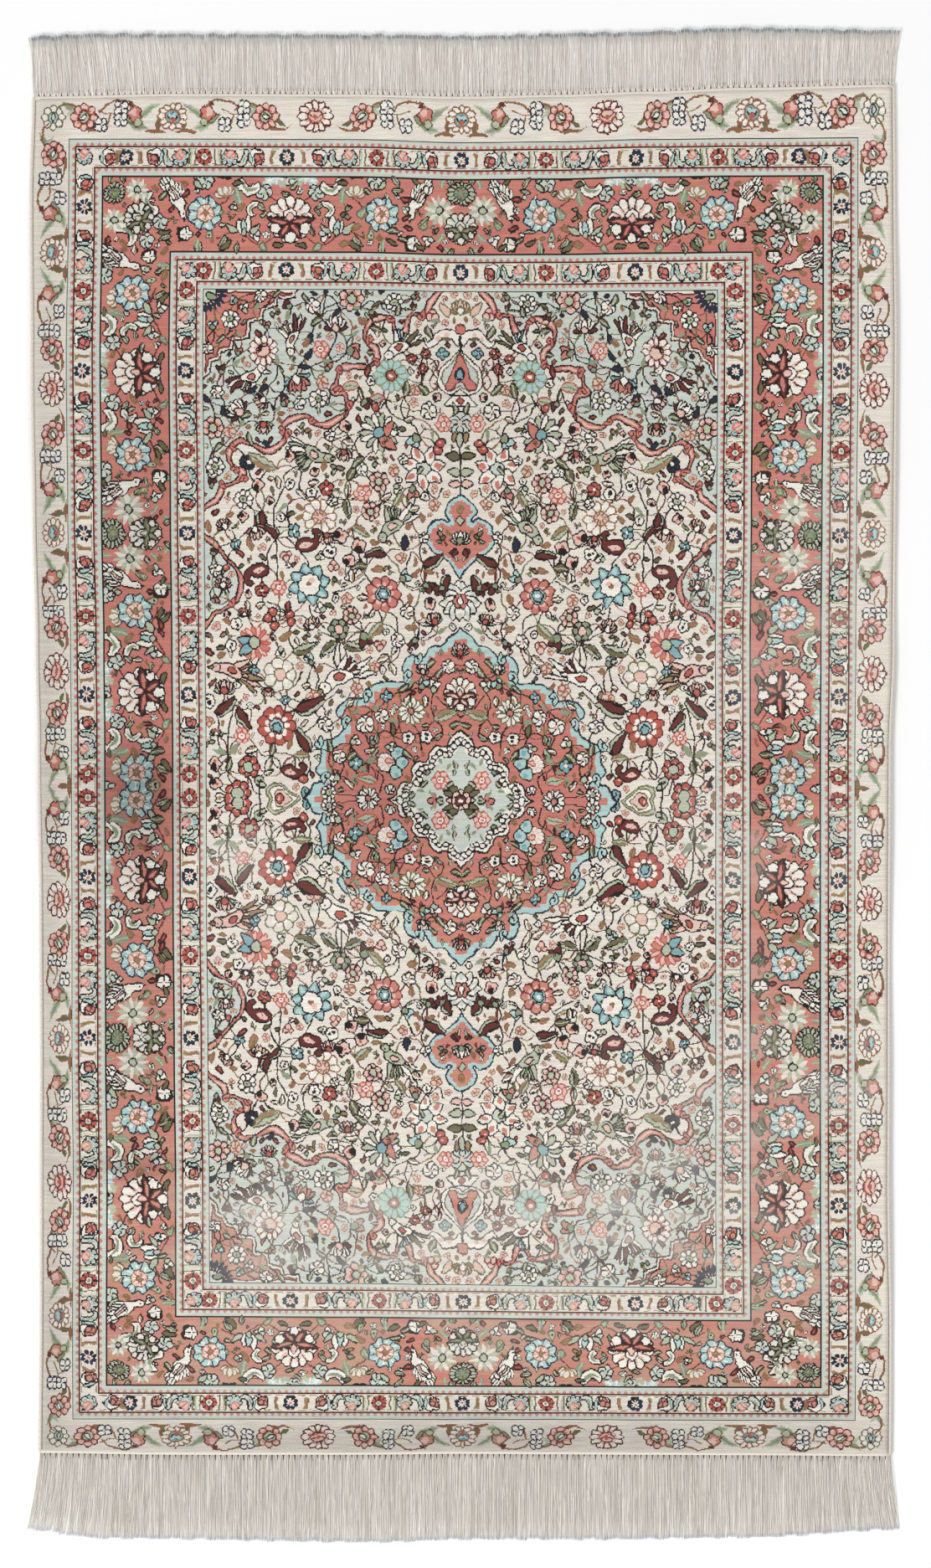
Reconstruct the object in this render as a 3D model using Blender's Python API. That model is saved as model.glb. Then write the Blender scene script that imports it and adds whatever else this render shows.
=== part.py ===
"""A hand-knotted silk rug of about 3 by 5 feet, lying flat, with a knotted fringe at both ends.

Frame: metres, +X across the rug, +Y along it towards the top of the design, +Z up.
The rug lies on the plane z = 0, and its origin is under the middle of its bounding box.
"""

import math

import bmesh
import bpy
from mathutils import Vector

MM = 0.001

# The cloth: knotted silk pile on a cotton foundation
CLOTH_THICK = 3.5 * MM
CLOTH_COLUMNS = 12
CLOTH_ROWS = 20

# The overcast cord along each long side
SELVEDGE_RADIUS = 1.9 * MM
SELVEDGE_ROUNDNESS = 2

# The fringe: warp ends tied into locks along a narrow woven web
LOCKS = 150
WEB_DEPTH = 4.0 * MM
WEB_THICK = 3.0 * MM
TIP_THICK = 1.6 * MM
ROOT_WIDTH = 3.6 * MM
SPREAD_AT = 13.0 * MM
LOCK_GAP = 0.6 * MM
TIP_WIDTH_SHARE = 0.86
TIP_UNEVEN = 1.6 * MM

# The space left between neighbouring parts
GAP = 0.4 * MM

# The long sides, which are a little wavy: distance along the rug, then the left and right side
SIDES = [
    # y_mm, left_mm, right_mm
    (-720, -456.8, 460.4),
    (-610, -455.2, 460.8),
    (-410, -455.0, 458.2),
    (-160, -456.0, 459.2),
    (0, -457.0, 459.0),
    (160, -459.6, 463.8),
    (330, -463.2, 465.0),
    (480, -465.0, 466.2),
    (640, -466.2, 465.0),
    (745, -463.4, 464.2),
]

# The two ends of the cloth: distance across the rug, then the top and bottom end
ENDS = [
    # x_mm, top_mm, bottom_mm
    (-465, 738.5, -716.0),
    (-400, 741.0, -718.0),
    (-230, 742.0, -718.0),
    (0, 738.5, -717.0),
    (150, 741.5, -717.5),
    (290, 748.0, -718.5),
    (465, 751.5, -719.5),
]

# Where the cut ends of the fringe lie, the same way
TIPS = [
    # x_mm, top_mm, bottom_mm
    (-470, 805.0, -800.0),
    (-380, 808.5, -811.0),
    (-90, 807.5, -815.0),
    (0, 806.0, -812.0),
    (150, 809.5, -812.0),
    (300, 814.5, -810.0),
    (470, 812.0, -801.0),
]

# How far the outermost locks lean outwards, and how far in from the corner that lean reaches
FLARES = {
    # end: (left_mm, right_mm)
    "top": (4.0, 5.5),
    "bottom": (13.0, 9.0),
}
FLARE_REACH = 190 * MM


def read(table, column, at):
    """The smooth value of one column at a place along the table's first column, in metres."""
    rows = [tuple(value * MM for value in row) for row in table]
    at = min(max(at, rows[0][0]), rows[-1][0])
    for low, high in zip(rows, rows[1:]):
        if at <= high[0]:
            share = (at - low[0]) / (high[0] - low[0])
            share = share * share * (3 - 2 * share)
            return low[column] + (high[column] - low[column]) * share
    return rows[-1][column]


def cloth_point(across, along):
    """A point of the cloth's plan: across is 0 to 1 from left to right, along is 0 to 1 from bottom to top."""
    inset = 2 * SELVEDGE_RADIUS + GAP
    y = (ENDS[0][2] + (ENDS[0][1] - ENDS[0][2]) * along) * MM
    left = read(SIDES, 1, y) + inset
    right = read(SIDES, 2, y) - inset
    x = left + (right - left) * across
    bottom = read(ENDS, 2, x)
    top = read(ENDS, 1, x)
    return Vector((x, bottom + (top - bottom) * along, 0))


def cloth_end(end, x):
    """Where the cloth's straight-sided end edge lies at x, level beyond its two corners."""
    along = 1 if end == "top" else 0
    corners = [cloth_point(i / CLOTH_COLUMNS, along) for i in range(CLOTH_COLUMNS + 1)]
    x = min(max(x, corners[0].x), corners[-1].x)
    for low, high in zip(corners, corners[1:]):
        if x <= high.x:
            return low.y + (high.y - low.y) * (x - low.x) / (high.x - low.x)
    return corners[-1].y


def material(name, colour, roughness):
    made = bpy.data.materials.new(name)
    made.use_nodes = True
    shader = made.node_tree.nodes["Principled BSDF"]
    shader.inputs["Base Color"].default_value = (*colour, 1)
    shader.inputs["Roughness"].default_value = roughness
    shader.inputs["Metallic"].default_value = 0
    made.diffuse_color = (*colour, 1)
    return made


def add(name, data, finish):
    made = bpy.data.objects.new(name, data)
    bpy.context.scene.collection.objects.link(made)
    data.materials.append(finish)
    return made


def thicken(piece, thickness, group=""):
    """Raises a flat plan from the floor to its thickness, less where the vertex group is under 1."""
    solid = piece.modifiers.new("thickness", "SOLIDIFY")
    solid.thickness = thickness
    solid.offset = 1
    solid.vertex_group = group
    return piece


def build_cloth(finish):
    """The knotted cloth: a flat plan of quads between its four slightly wavy edges."""
    plan = bmesh.new()
    grid = [
        [plan.verts.new(cloth_point(i / CLOTH_COLUMNS, j / CLOTH_ROWS)) for i in range(CLOTH_COLUMNS + 1)]
        for j in range(CLOTH_ROWS + 1)
    ]
    for lower, upper in zip(grid, grid[1:]):
        for i in range(CLOTH_COLUMNS):
            plan.faces.new((lower[i], lower[i + 1], upper[i + 1], upper[i]))
    mesh = bpy.data.meshes.new("cloth")
    plan.to_mesh(mesh)
    plan.free()
    return thicken(add("cloth", mesh, finish), CLOTH_THICK)


def build_selvedge(name, side, finish):
    """The overcast cord that closes one long side of the cloth. side is -1 for left and 1 for right."""
    across = 0 if side < 0 else 1
    line = bpy.data.curves.new(name, "CURVE")
    line.dimensions = "3D"
    line.bevel_depth = SELVEDGE_RADIUS
    line.bevel_resolution = SELVEDGE_ROUNDNESS
    line.use_fill_caps = True
    spline = line.splines.new("POLY")
    spline.points.add(CLOTH_ROWS)
    for row, point in enumerate(spline.points):
        at = cloth_point(across, row / CLOTH_ROWS)
        point.co = (at.x + side * (GAP + SELVEDGE_RADIUS), at.y, SELVEDGE_RADIUS, 1)
    return add(name, line, finish)


def lock_lean(end, share):
    """How far a lock's tip lies to the right of its root. share is 0 at the left corner and 1 at the right."""
    width = (SIDES[0][2] - SIDES[0][1]) * MM
    left, right = FLARES[end]
    from_left = max(0, 1 - share * width / FLARE_REACH)
    from_right = max(0, 1 - (1 - share) * width / FLARE_REACH)
    sway = 1.2 * math.sin(share * 23) * min(1, share * 12, (1 - share) * 12)
    return (right * from_right**2 - left * from_left**2 + sway) * MM


def build_fringe(end, finish):
    """One end's fringe: a narrow web beside the cloth, with the locks growing out of it.

    Each lock has two lengths: a short one that widens from its knot, and a long one to its cut tip.
    """
    column, outwards = (1, 1) if end == "top" else (2, -1)
    along = 1 if end == "top" else 0
    first, last = cloth_point(0, along).x - SELVEDGE_RADIUS, cloth_point(1, along).x + SELVEDGE_RADIUS
    pitch = (last - first - ROOT_WIDTH) / (LOCKS - 1)
    plan = bmesh.new()
    thin = []

    def station(x, out):
        """The web's edge at x, moved out from the cloth."""
        return plan.verts.new((x, cloth_end(end, x) + outwards * (GAP + out), 0))

    def pair(x, width, y):
        """The two sides of a lock at one place along it."""
        made = [plan.verts.new((x - width / 2, y, 0)), plan.verts.new((x + width / 2, y, 0))]
        thin.extend(made)
        return made

    inner, outer = [], []
    for lock in range(LOCKS):
        root_x = first + ROOT_WIDTH / 2 + lock * pitch
        for side in (-1, 1):
            inner.append(station(root_x + side * ROOT_WIDTH / 2, 0))
            outer.append(station(root_x + side * ROOT_WIDTH / 2, WEB_DEPTH))
    for i in range(len(inner) - 1):
        plan.faces.new((inner[i], inner[i + 1], outer[i + 1], outer[i]))
    for lock in range(LOCKS):
        share = lock / (LOCKS - 1)
        root_x = first + ROOT_WIDTH / 2 + lock * pitch
        lean = lock_lean(end, share)
        tip_y = read(TIPS, column, root_x) + outwards * TIP_UNEVEN * (math.sin(lock * 2.4) - 1) / 2
        spread_y = cloth_end(end, root_x) + outwards * (GAP + WEB_DEPTH + SPREAD_AT)
        middle = pair(root_x + lean * 0.15, pitch - LOCK_GAP, spread_y)
        tip = pair(root_x + lean, (pitch - LOCK_GAP) * TIP_WIDTH_SHARE, tip_y)
        root = outer[2 * lock : 2 * lock + 2]
        plan.faces.new((root[0], root[1], middle[1], middle[0]))
        plan.faces.new((middle[0], middle[1], tip[1], tip[0]))
    bmesh.ops.recalc_face_normals(plan, faces=plan.faces)
    if next(iter(plan.faces)).normal.z < 0:
        bmesh.ops.reverse_faces(plan, faces=plan.faces)
    plan.verts.index_update()
    thin_places = [vertex.index for vertex in thin]
    mesh = bpy.data.meshes.new("fringe_" + end)
    plan.to_mesh(mesh)
    plan.free()
    piece = add("fringe_" + end, mesh, finish)
    group = piece.vertex_groups.new(name="thickness")
    group.add(range(len(mesh.vertices)), 1, "REPLACE")
    group.add(thin_places, TIP_THICK / WEB_THICK, "REPLACE")
    return thicken(piece, WEB_THICK, group.name)


def centre(pieces):
    """Moves every piece alike, so that the middle of their common box lies over the origin."""
    bpy.context.view_layer.update()
    graph = bpy.context.evaluated_depsgraph_get()
    places = [
        piece.matrix_world @ vertex.co for piece in pieces for vertex in piece.evaluated_get(graph).to_mesh().vertices
    ]
    for axis in range(2):
        low = min(place[axis] for place in places)
        high = max(place[axis] for place in places)
        for piece in pieces:
            piece.location[axis] -= (low + high) / 2


def main():
    for old in list(bpy.data.objects):
        bpy.data.objects.remove(old)
    pile = material("silk pile", (0.66, 0.42, 0.33), 0.5)
    overcast = material("silk overcasting", (0.74, 0.70, 0.64), 0.6)
    warp = material("cotton and silk warp", (0.78, 0.76, 0.71), 0.7)
    pieces = [
        build_cloth(pile),
        build_selvedge("selvedge_left", -1, overcast),
        build_selvedge("selvedge_right", 1, overcast),
        build_fringe("top", warp),
        build_fringe("bottom", warp),
    ]
    centre(pieces)


main()
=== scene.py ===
# %% [markdown]
# # A hand-knotted silk rug
#
# The rug lies flat and is seen from straight above. Its CAD model is five plain solids: the
# cloth, a cord along each long side and a fringe at each end. This script dresses them. The
# cloth becomes a sheet whose every face carries 6 by 6 knots of a drawn cartoon, the cords get
# their windings, and each fringe becomes a row of knots with loose yarns.
#
# The camera comes first, because every choice of scale follows from what it sees: one pixel of
# the picture is 0.9 mm of rug.

import math

import bpy
import numpy as np
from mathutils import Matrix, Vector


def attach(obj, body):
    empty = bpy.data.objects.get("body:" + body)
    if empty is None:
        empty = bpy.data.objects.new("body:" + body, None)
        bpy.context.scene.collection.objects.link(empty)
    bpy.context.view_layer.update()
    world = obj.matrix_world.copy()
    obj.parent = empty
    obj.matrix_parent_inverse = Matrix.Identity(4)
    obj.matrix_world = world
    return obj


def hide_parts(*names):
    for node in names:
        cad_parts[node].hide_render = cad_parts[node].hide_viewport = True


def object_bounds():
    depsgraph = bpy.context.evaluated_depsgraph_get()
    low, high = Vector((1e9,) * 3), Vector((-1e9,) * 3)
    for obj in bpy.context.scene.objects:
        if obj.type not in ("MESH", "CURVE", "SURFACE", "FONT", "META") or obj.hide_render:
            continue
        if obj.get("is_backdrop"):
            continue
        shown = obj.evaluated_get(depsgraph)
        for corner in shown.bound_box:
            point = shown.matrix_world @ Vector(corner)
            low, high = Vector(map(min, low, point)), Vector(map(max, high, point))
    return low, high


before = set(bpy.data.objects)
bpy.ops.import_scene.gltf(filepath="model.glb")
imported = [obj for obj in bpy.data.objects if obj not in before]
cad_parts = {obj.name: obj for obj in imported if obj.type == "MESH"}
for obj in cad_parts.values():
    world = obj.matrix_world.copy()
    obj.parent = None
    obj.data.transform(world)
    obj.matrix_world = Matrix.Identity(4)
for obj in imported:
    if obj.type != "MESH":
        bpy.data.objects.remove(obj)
cad_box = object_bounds()

MM = 0.001
PICTURE_WIDE, PICTURE_TALL = 1112, 1873
VIEW_WIDTH = 1001 * MM
VIEW_LENGTH = VIEW_WIDTH * PICTURE_TALL / PICTURE_WIDE
VIEW_CENTRE = (2.2 * MM, 1.2 * MM)
LENS_MM = 90
SENSOR_MM = 36
FARTHEST_SEEN = 50

eye = bpy.data.cameras.new("eye")
eye.lens = LENS_MM
eye.sensor_width = SENSOR_MM
eye.clip_end = FARTHEST_SEEN
camera = bpy.data.objects.new("camera", eye)
camera.location = (*VIEW_CENTRE, VIEW_LENGTH * LENS_MM / SENSOR_MM)
bpy.context.scene.collection.objects.link(camera)
bpy.context.scene.camera = camera
print("camera height", round(camera.location.z, 2), "m")

# %% [markdown]
# ## The outline of the cloth
#
# A hand-knotted rug is never quite square: the weaver's tension changes as the cloth grows, so
# its sides wander by a few millimetres and the drawn border lines wander with them. The tables
# below say where the edge, the outermost border line and the edge of the field lie, across and
# along the rug. Everything else is placed between them.

# %% Where the drawn lines run
# The long way: distance along the rug, then the six lines across it, from the left to the right
ACROSS = np.array([
    # y_mm, edge, outer line, field edge, field edge, outer line, edge
    (-720, -456.8, -420.0, -272.5, 271.0, 421.0, 460.4),
    (-560, -455.4, -420.5, -272.0, 271.0, 421.8, 461.0),
    (-410, -455.0, -419.5, -272.5, 270.5, 420.8, 458.4),
    (-270, -455.0, -421.0, -274.0, 270.5, 420.8, 458.9),
    (-110, -455.8, -421.0, -275.5, 270.5, 420.8, 459.2),
    (50, -457.6, -421.5, -276.0, 270.5, 420.8, 460.0),
    (160, -459.6, -422.5, -277.0, 270.0, 421.8, 464.0),
    (300, -463.0, -425.5, -278.0, 271.5, 422.8, 465.2),
    (465, -465.0, -427.0, -279.5, 272.5, 424.3, 466.4),
    (640, -466.2, -424.5, -277.5, 272.5, 424.3, 465.2),
    (745, -463.4, -423.5, -276.5, 272.5, 424.3, 464.2),
])
# The short way: distance across the rug, then the same six lines from the bottom to the top
ALONG = np.array([
    # x_mm, edge, outer line, field edge, field edge, outer line, edge
    (-465, -716.0, -681.5, -533.5, 532.5, 694.5, 738.5),
    (-300, -718.0, -681.5, -534.0, 532.5, 694.5, 741.5),
    (-120, -718.0, -681.5, -535.0, 532.0, 694.0, 741.0),
    (0, -717.0, -682.0, -536.5, 529.5, 690.5, 738.5),
    (100, -717.5, -682.0, -538.0, 529.5, 691.5, 740.5),
    (200, -718.0, -682.5, -539.0, 530.5, 694.0, 744.0),
    (300, -718.5, -682.8, -539.5, 531.5, 695.0, 748.0),
    (465, -719.5, -683.0, -539.5, 532.0, 696.0, 751.5),
])
CORD_RADIUS = 1.9 * MM
GAP = 0.4 * MM


def smooth(table, column, at):
    """A column of a table, read with an easing curve between its rows: 3t² - 2t³."""
    steps = table[:, 0]
    at = np.clip(at, steps[0], steps[-1])
    low = np.clip(np.searchsorted(steps, at, side="right") - 1, 0, len(steps) - 2)
    t = (at - steps[low]) / (steps[low + 1] - steps[low])
    t = t * t * (3 - 2 * t)
    return table[low, column] * (1 - t) + table[low + 1, column] * t


# %% [markdown]
# ## The count of the knots
#
# The design is drawn on squared paper, one square to a knot, as a real cartoon is. A knot here
# is about 0.84 mm across and 0.95 mm along, so 10 cm hold some 120 by 105 knots, a fine silk.
# The borders take the same number of knots on all four sides. The field's own middle sits a
# little below the middle of the rug, because the lower half was beaten down more tightly.

# %% The squared paper
COLUMNS, ROWS = 1104, 1560
FACE_KNOTS = 6
OUTER_LINE = 47
FIELD_EDGE = 219
FIELD_MIDDLE_ROW = 794
NOMINAL_LENGTH_MM = 1458
NOMINAL_MIDDLE_MM = 12

MARKS_ACROSS = np.array([0, OUTER_LINE, FIELD_EDGE, COLUMNS - FIELD_EDGE, COLUMNS - OUTER_LINE, COLUMNS])
MARKS_ALONG = np.array([0, OUTER_LINE, FIELD_EDGE, ROWS - FIELD_EDGE, ROWS - OUTER_LINE, ROWS])


def between(marks, places, at):
    """Straight reading between marks, for a whole array: places has one column for each mark."""
    part = np.clip(np.searchsorted(marks, at, side="right") - 1, 0, len(marks) - 2)
    share = (at - marks[part]) / (marks[part + 1] - marks[part])
    low = np.take_along_axis(places, part[..., None], -1)[..., 0]
    high = np.take_along_axis(places, part[..., None] + 1, -1)[..., 0]
    return low + (high - low) * share


def on_rug(column, row):
    """The place of a knot in metres, column from the left and row from the bottom, both may be arrays.

    Across, it is read between the wandering lines at the knot's nominal height; along, between
    the wandering lines at the x just found.
    """
    column, row = np.broadcast_arrays(np.asarray(column, float), np.asarray(row, float))
    nominal = (row / ROWS - 0.5) * NOMINAL_LENGTH_MM + NOMINAL_MIDDLE_MM
    across = np.stack([smooth(ACROSS, i, nominal) for i in range(1, 7)], -1)
    inset = (2 * CORD_RADIUS + GAP) / MM
    across[..., 0] += inset
    across[..., 5] -= inset
    x = between(MARKS_ACROSS, across, column)
    along = np.stack([smooth(ALONG, i, x) for i in range(1, 7)], -1)
    y = between(MARKS_ALONG, along, row)
    return x * MM, y * MM


corner_x, corner_y = on_rug(np.array([0, COLUMNS, 0, COLUMNS]), np.array([0, 0, ROWS, ROWS]))
print("cloth corners in mm", np.round(corner_x / MM), np.round(corner_y / MM))

# %% [markdown]
# ## The helpers for meshes and materials
#
# A few small functions serve every piece. One turns the hex value of a dyed thread, as it is
# seen on a screen, into the linear numbers that the renderer adds up light with. One adds a
# shader node, sets its options and joins or fills its inputs. One puts whole numpy arrays of
# points and faces into a mesh, and one keeps a number for each point, which a material reads.

# %% Colours, nodes and meshes
def linear(colour):
    """A hex colour as linear red, green, blue and 1.

    Each part v from 0 to 1 becomes v / 12.92 up to 0.04045, and ((v + 0.055) / 1.055)^2.4 above it.
    """
    v = np.array([int(colour[i : i + 2], 16) for i in (1, 3, 5)]) / 255
    v = np.where(v <= 0.04045, v / 12.92, ((v + 0.055) / 1.055) ** 2.4)
    return (*v.tolist(), 1.0)


def node(tree, kind, inputs=None, **options):
    """Adds a node. options are its own properties.

    inputs are its sockets, each with a value or with another node's output.
    """
    made = tree.nodes.new(kind)
    for name, value in options.items():
        setattr(made, name, value)
    for key, value in (inputs or {}).items():
        if isinstance(value, bpy.types.NodeSocket):
            tree.links.new(value, made.inputs[key])
        else:
            made.inputs[key].default_value = value
    return made


def calculate(tree, operation, *values):
    """The output of a Math node, whose inputs are the values in their order."""
    return node(tree, "ShaderNodeMath", dict(enumerate(values)), operation=operation).outputs[0]


def new_material(name):
    """A new material and its node tree, which is still empty."""
    made = bpy.data.materials.new(name)
    made.use_nodes = True
    made.node_tree.nodes.clear()
    return made, made.node_tree


def new_piece(name, points, faces, material, smooth_shaded=True):
    """A mesh object from points (n, 3) and one or more arrays of faces, each (m, corners)."""
    mesh = bpy.data.meshes.new(name)
    faces = faces if isinstance(faces, list) else [faces]
    corners = np.concatenate([np.full(len(part), part.shape[1]) for part in faces])
    loops = np.concatenate([part.ravel() for part in faces])
    mesh.vertices.add(len(points))
    mesh.vertices.foreach_set("co", np.ascontiguousarray(points, np.float32).ravel())
    mesh.loops.add(len(loops))
    mesh.loops.foreach_set("vertex_index", loops.astype(np.int32))
    mesh.polygons.add(len(corners))
    mesh.polygons.foreach_set("loop_start", (np.cumsum(corners) - corners).astype(np.int32))
    mesh.polygons.foreach_set("use_smooth", np.full(len(corners), smooth_shaded))
    mesh.update(calc_edges=True)
    mesh.materials.append(material)
    piece = bpy.data.objects.new(name, mesh)
    bpy.context.scene.collection.objects.link(piece)
    print(name, len(points), "points,", len(corners), "faces,", "mended" if mesh.validate() else "sound")
    return piece


def keep_on_points(piece, name, values):
    """Keeps one number for each point of a piece under a name."""
    kept = piece.data.attributes.new(name, "FLOAT", "POINT")
    kept.data.foreach_set("value", values.astype(np.float32).ravel())


def grid_faces(rows, columns):
    """The quads of a grid of points that is numbered row by row, each turning anticlockwise."""
    i = np.arange(rows - 1)[:, None] * columns + np.arange(columns - 1)[None, :]
    return np.stack([i, i + 1, i + 1 + columns, i + columns], -1).reshape(-1, 4)


# %% [markdown]
# ## The cloth
#
# The real cloth is a woven foundation whose every warp pair carries a silk knot, row after row.
# Over a million knots are far too many for geometry, and a picture wrapped over the rug would
# blur them. So the mesh has one face for each block of 6 by 6 knots, and each face carries its
# own little piece of the cartoon: six numbers, one for each row of six knots. A row's number is
# its six thread numbers written one after another in base 16, which a 32-bit float holds
# exactly. The shader takes the number apart again.
#
# The sheet is closed: its top, its underside and a thin wall round it. It rises and falls by
# up to 3 mm, as a rug does that has been rolled up.

# %% The cloth's surface
CLOTH_THICK = 3.4 * MM
EDGE_DROP = 0.3 * MM
LIFT_AT_SIDE = 1.1 * MM
LIFT_WITHIN = 0.6 * MM
CLEAR_OF_FLOOR = 0.05 * MM
# half the width and half the length of the cloth, in metres, where its waves end
SIDE_AT, END_AT = 0.46, 0.74
# waves along the sides, 41 and 20 cm long, in radians to the metre
LONG_WAVE, SHORT_WAVE = 15.3, 31


def lift(x, y):
    """How far the cloth's underside stands off the floor.

    Waves along the sides grow with the fourth power of the distance from the middle line, a low
    swell lies within the cloth, and both die out at its ends.
    """
    side = np.clip(np.abs(x) / SIDE_AT, 0, 1) ** 4
    end = np.clip(1 - (np.abs(y) / END_AT) ** 8, 0, 1)
    waves = 1 + 0.6 * np.sin(y * LONG_WAVE + 1.3) + 0.4 * np.sin(y * SHORT_WAVE + 4 * np.sign(x))
    swell = 1 + np.sin(x * 9.1 + y * 5.2) * np.sin(y * 8.3 - x * 3.1)
    return end * (LIFT_AT_SIDE * side * waves + LIFT_WITHIN * swell) + CLEAR_OF_FLOOR


# Painted sheen and painted shade: places where the pile is painted paler (strength above 0) and darker (below
# 0)
SHEEN_AND_SHADE_PATCHES = [
    # x_mm, y_mm, reach across, reach along, strength
    (20, -465, 330, 75, 0.65),
    (20, -580, 330, 90, 0.4),
    (-180, -480, 70, 45, 0.5),
    (210, -440, 90, 60, 0.58),
    (330, -330, 170, 60, 0.5),
    (312, -250, 34, 330, 0.3),
    (360, 160, 110, 130, 0.38),
    (400, 330, 60, 150, 0.25),
    (330, -60, 120, 90, 0.4),
    (-250, -70, 60, 30, 0.55),
    (-160, -160, 120, 60, 0.25),
    (-250, -640, 160, 40, 0.2),
    (0, -640, 500, 60, -0.24),
    (-350, 0, 50, 45, -0.7),
    (-330, -65, 60, 50, -0.35),
    (335, 10, 50, 60, -0.5),
    (340, -130, 40, 30, -0.3),
    (-350, -410, 80, 14, -0.5),
    (-80, -10, 70, 60, -0.3),
    (-340, 330, 60, 180, -0.2),
    (80, 620, 400, 60, -0.12),
    (0, 440, 240, 90, -0.14),
    (-354, 0, 45, 560, -0.3),
    (354, -100, 40, 500, -0.2),
    (0, -706, 520, 30, -0.73),
    (-452, 0, 28, 800, -0.55),
    (-440, -560, 40, 160, -0.3),
    (0, -600, 700, 130, -0.06),
    (350, -510, 45, 45, 0.55),
    (330, -480, 60, 60, -0.2),
    (0, 0, 190, 200, -0.17),
    (0, 2, 44, 40, 0.28),
    (30, 390, 260, 170, -0.1),
]


def sheen_and_shade_at(x, y):
    """The sum of bell curves, one for each place in SHEEN_AND_SHADE_PATCHES."""
    table = np.array(SHEEN_AND_SHADE_PATCHES) * (MM, MM, MM, MM, 1)
    x_mid, y_mid, across, along, strength = table.T[:, :, None, None]
    return (strength * np.exp(-(((x - x_mid) / across) ** 2) - ((y - y_mid) / along) ** 2)).sum(0)


# the OFBake map gives the top most of its width, the underside the rest and the wall one spot
TOP_SHARE, UNDER_SHARE, UNDER_FROM = 0.8, 0.18, 0.81
WALL_SPOT = (0.805, 0.5)


def build_cloth(cartoon, material):
    """Top, underside and wall of the cloth, with the cartoon's numbers on its faces."""
    across = np.arange(0, COLUMNS + 1, FACE_KNOTS)
    along = np.arange(0, ROWS + 1, FACE_KNOTS)
    x, y = on_rug(across[None, :], along[:, None])
    under = lift(x, y)
    edge = np.ones(x.shape)
    edge[1:-1, 1:-1] = 0
    top = np.stack([x, y, under + CLOTH_THICK - EDGE_DROP * edge], -1).reshape(-1, 3)
    bottom = np.stack([x, y, under], -1).reshape(-1, 3)
    index = np.arange(len(top)).reshape(x.shape)
    rim = np.concatenate([index[0, :-1], index[:-1, -1], index[-1, :0:-1], index[:0:-1, 0]])
    after = np.roll(rim, -1)
    upper = grid_faces(*x.shape)
    wall = np.stack([rim + len(top), after + len(top), after, rim], -1)
    faces = np.concatenate([upper, upper[:, ::-1] + len(top), wall])
    cloth = new_piece("rug_cloth", np.concatenate([top, bottom]), faces, material)

    # each point keeps its amount of painted sheen (above 0) and painted shade (below 0)
    keep_on_points(cloth, "painted_sheen_and_shade", np.tile(sheen_and_shade_at(x, y).ravel(), 2))

    # six rows of six threads to a face, the lowest row first
    blocks = cartoon[::-1].reshape(len(along) - 1, FACE_KNOTS, len(across) - 1, FACE_KNOTS)
    digits = 16.0 ** np.arange(FACE_KNOTS)
    numbers = (blocks.transpose(0, 2, 1, 3) * digits).sum(-1).reshape(-1, FACE_KNOTS)
    numbers = np.concatenate([numbers, numbers, np.zeros((len(wall), FACE_KNOTS))])
    for name, part in (("lower_rows", numbers[:, :3]), ("upper_rows", numbers[:, 3:])):
        kept = cloth.data.attributes.new(name, "FLOAT_VECTOR", "FACE")
        kept.data.foreach_set("vector", part.astype(np.float32).ravel())

    # where each corner lies within its face, counted in knots
    square = np.array([(0, 0), (1, 0), (1, 1), (0, 1)]) * FACE_KNOTS
    counts = (len(upper), len(upper), len(wall))
    ways = (square, square[::-1], square)
    within = np.concatenate([np.tile(way, (n, 1)) for way, n in zip(ways, counts)])
    cloth.data.uv_layers.new(name="knot").uv.foreach_set("vector", within.astype(np.float32).ravel())

    u, v = np.meshgrid(across / COLUMNS, along / ROWS)
    flat = np.stack([u, v], -1).reshape(-1, 2)
    halves = np.concatenate([flat * (TOP_SHARE, 1), flat * (UNDER_SHARE, 1) + (UNDER_FROM, 0)])
    baked = halves[faces.ravel()]
    baked[-4 * len(wall) :] = WALL_SPOT
    cloth.data.uv_layers.new(name="OFBake").uv.foreach_set("vector", baked.astype(np.float32).ravel())
    cloth.data.uv_layers["knot"].active_render = True
    return cloth


# %% [markdown]
# ## The silk
#
# Silk takes dye deeply and throws back a soft light. Its index of refraction is about 1.54. Cut
# silk is rougher than a silk thread, so its gloss is wide: roughness 0.55 and a little sheen.
# The dyed threads vary. Each batch takes the dye a little differently, which shows as fine
# streaks along the rows of knots, and neighbouring threads differ a little in tint. The
# terracotta has faded towards brown in the lower half of the rug.
#
# Painted sheen and painted shade: in patches the pile is painted paler, all dyes alike, as a sheen
# where it would lean towards the light, and darker, as shade where it would lean away. The mesh
# carries these painted amounts as an attribute.

# %% The silk's dyes and the pile material
SILKS = {
    "ivory": "#E1D9CD",
    "cream": "#ECE6DB",
    "terracotta": "#C67D70",
    "brick": "#B35C50",
    "maroon": "#66302D",
    "pink": "#E0BCAF",
    "mint": "#C7CDC3",
    "pale blue": "#AFCCC8",
    "blue": "#83AAAD",
    "navy": "#272D3E",
    "dark": "#221A18",
    "green": "#8C967C",
    "pale green": "#B4BAA2",
    "olive": "#6B6547",
    "gold": "#9C8260",
    "brown": "#8A6248",
}
IVORY, CREAM, TERRACOTTA, BRICK, MAROON, PINK, MINT, PALE_BLUE = range(8)
BLUE, NAVY, DARK, GREEN, PALE_GREEN, OLIVE, GOLD, BROWN = range(8, 16)
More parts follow.
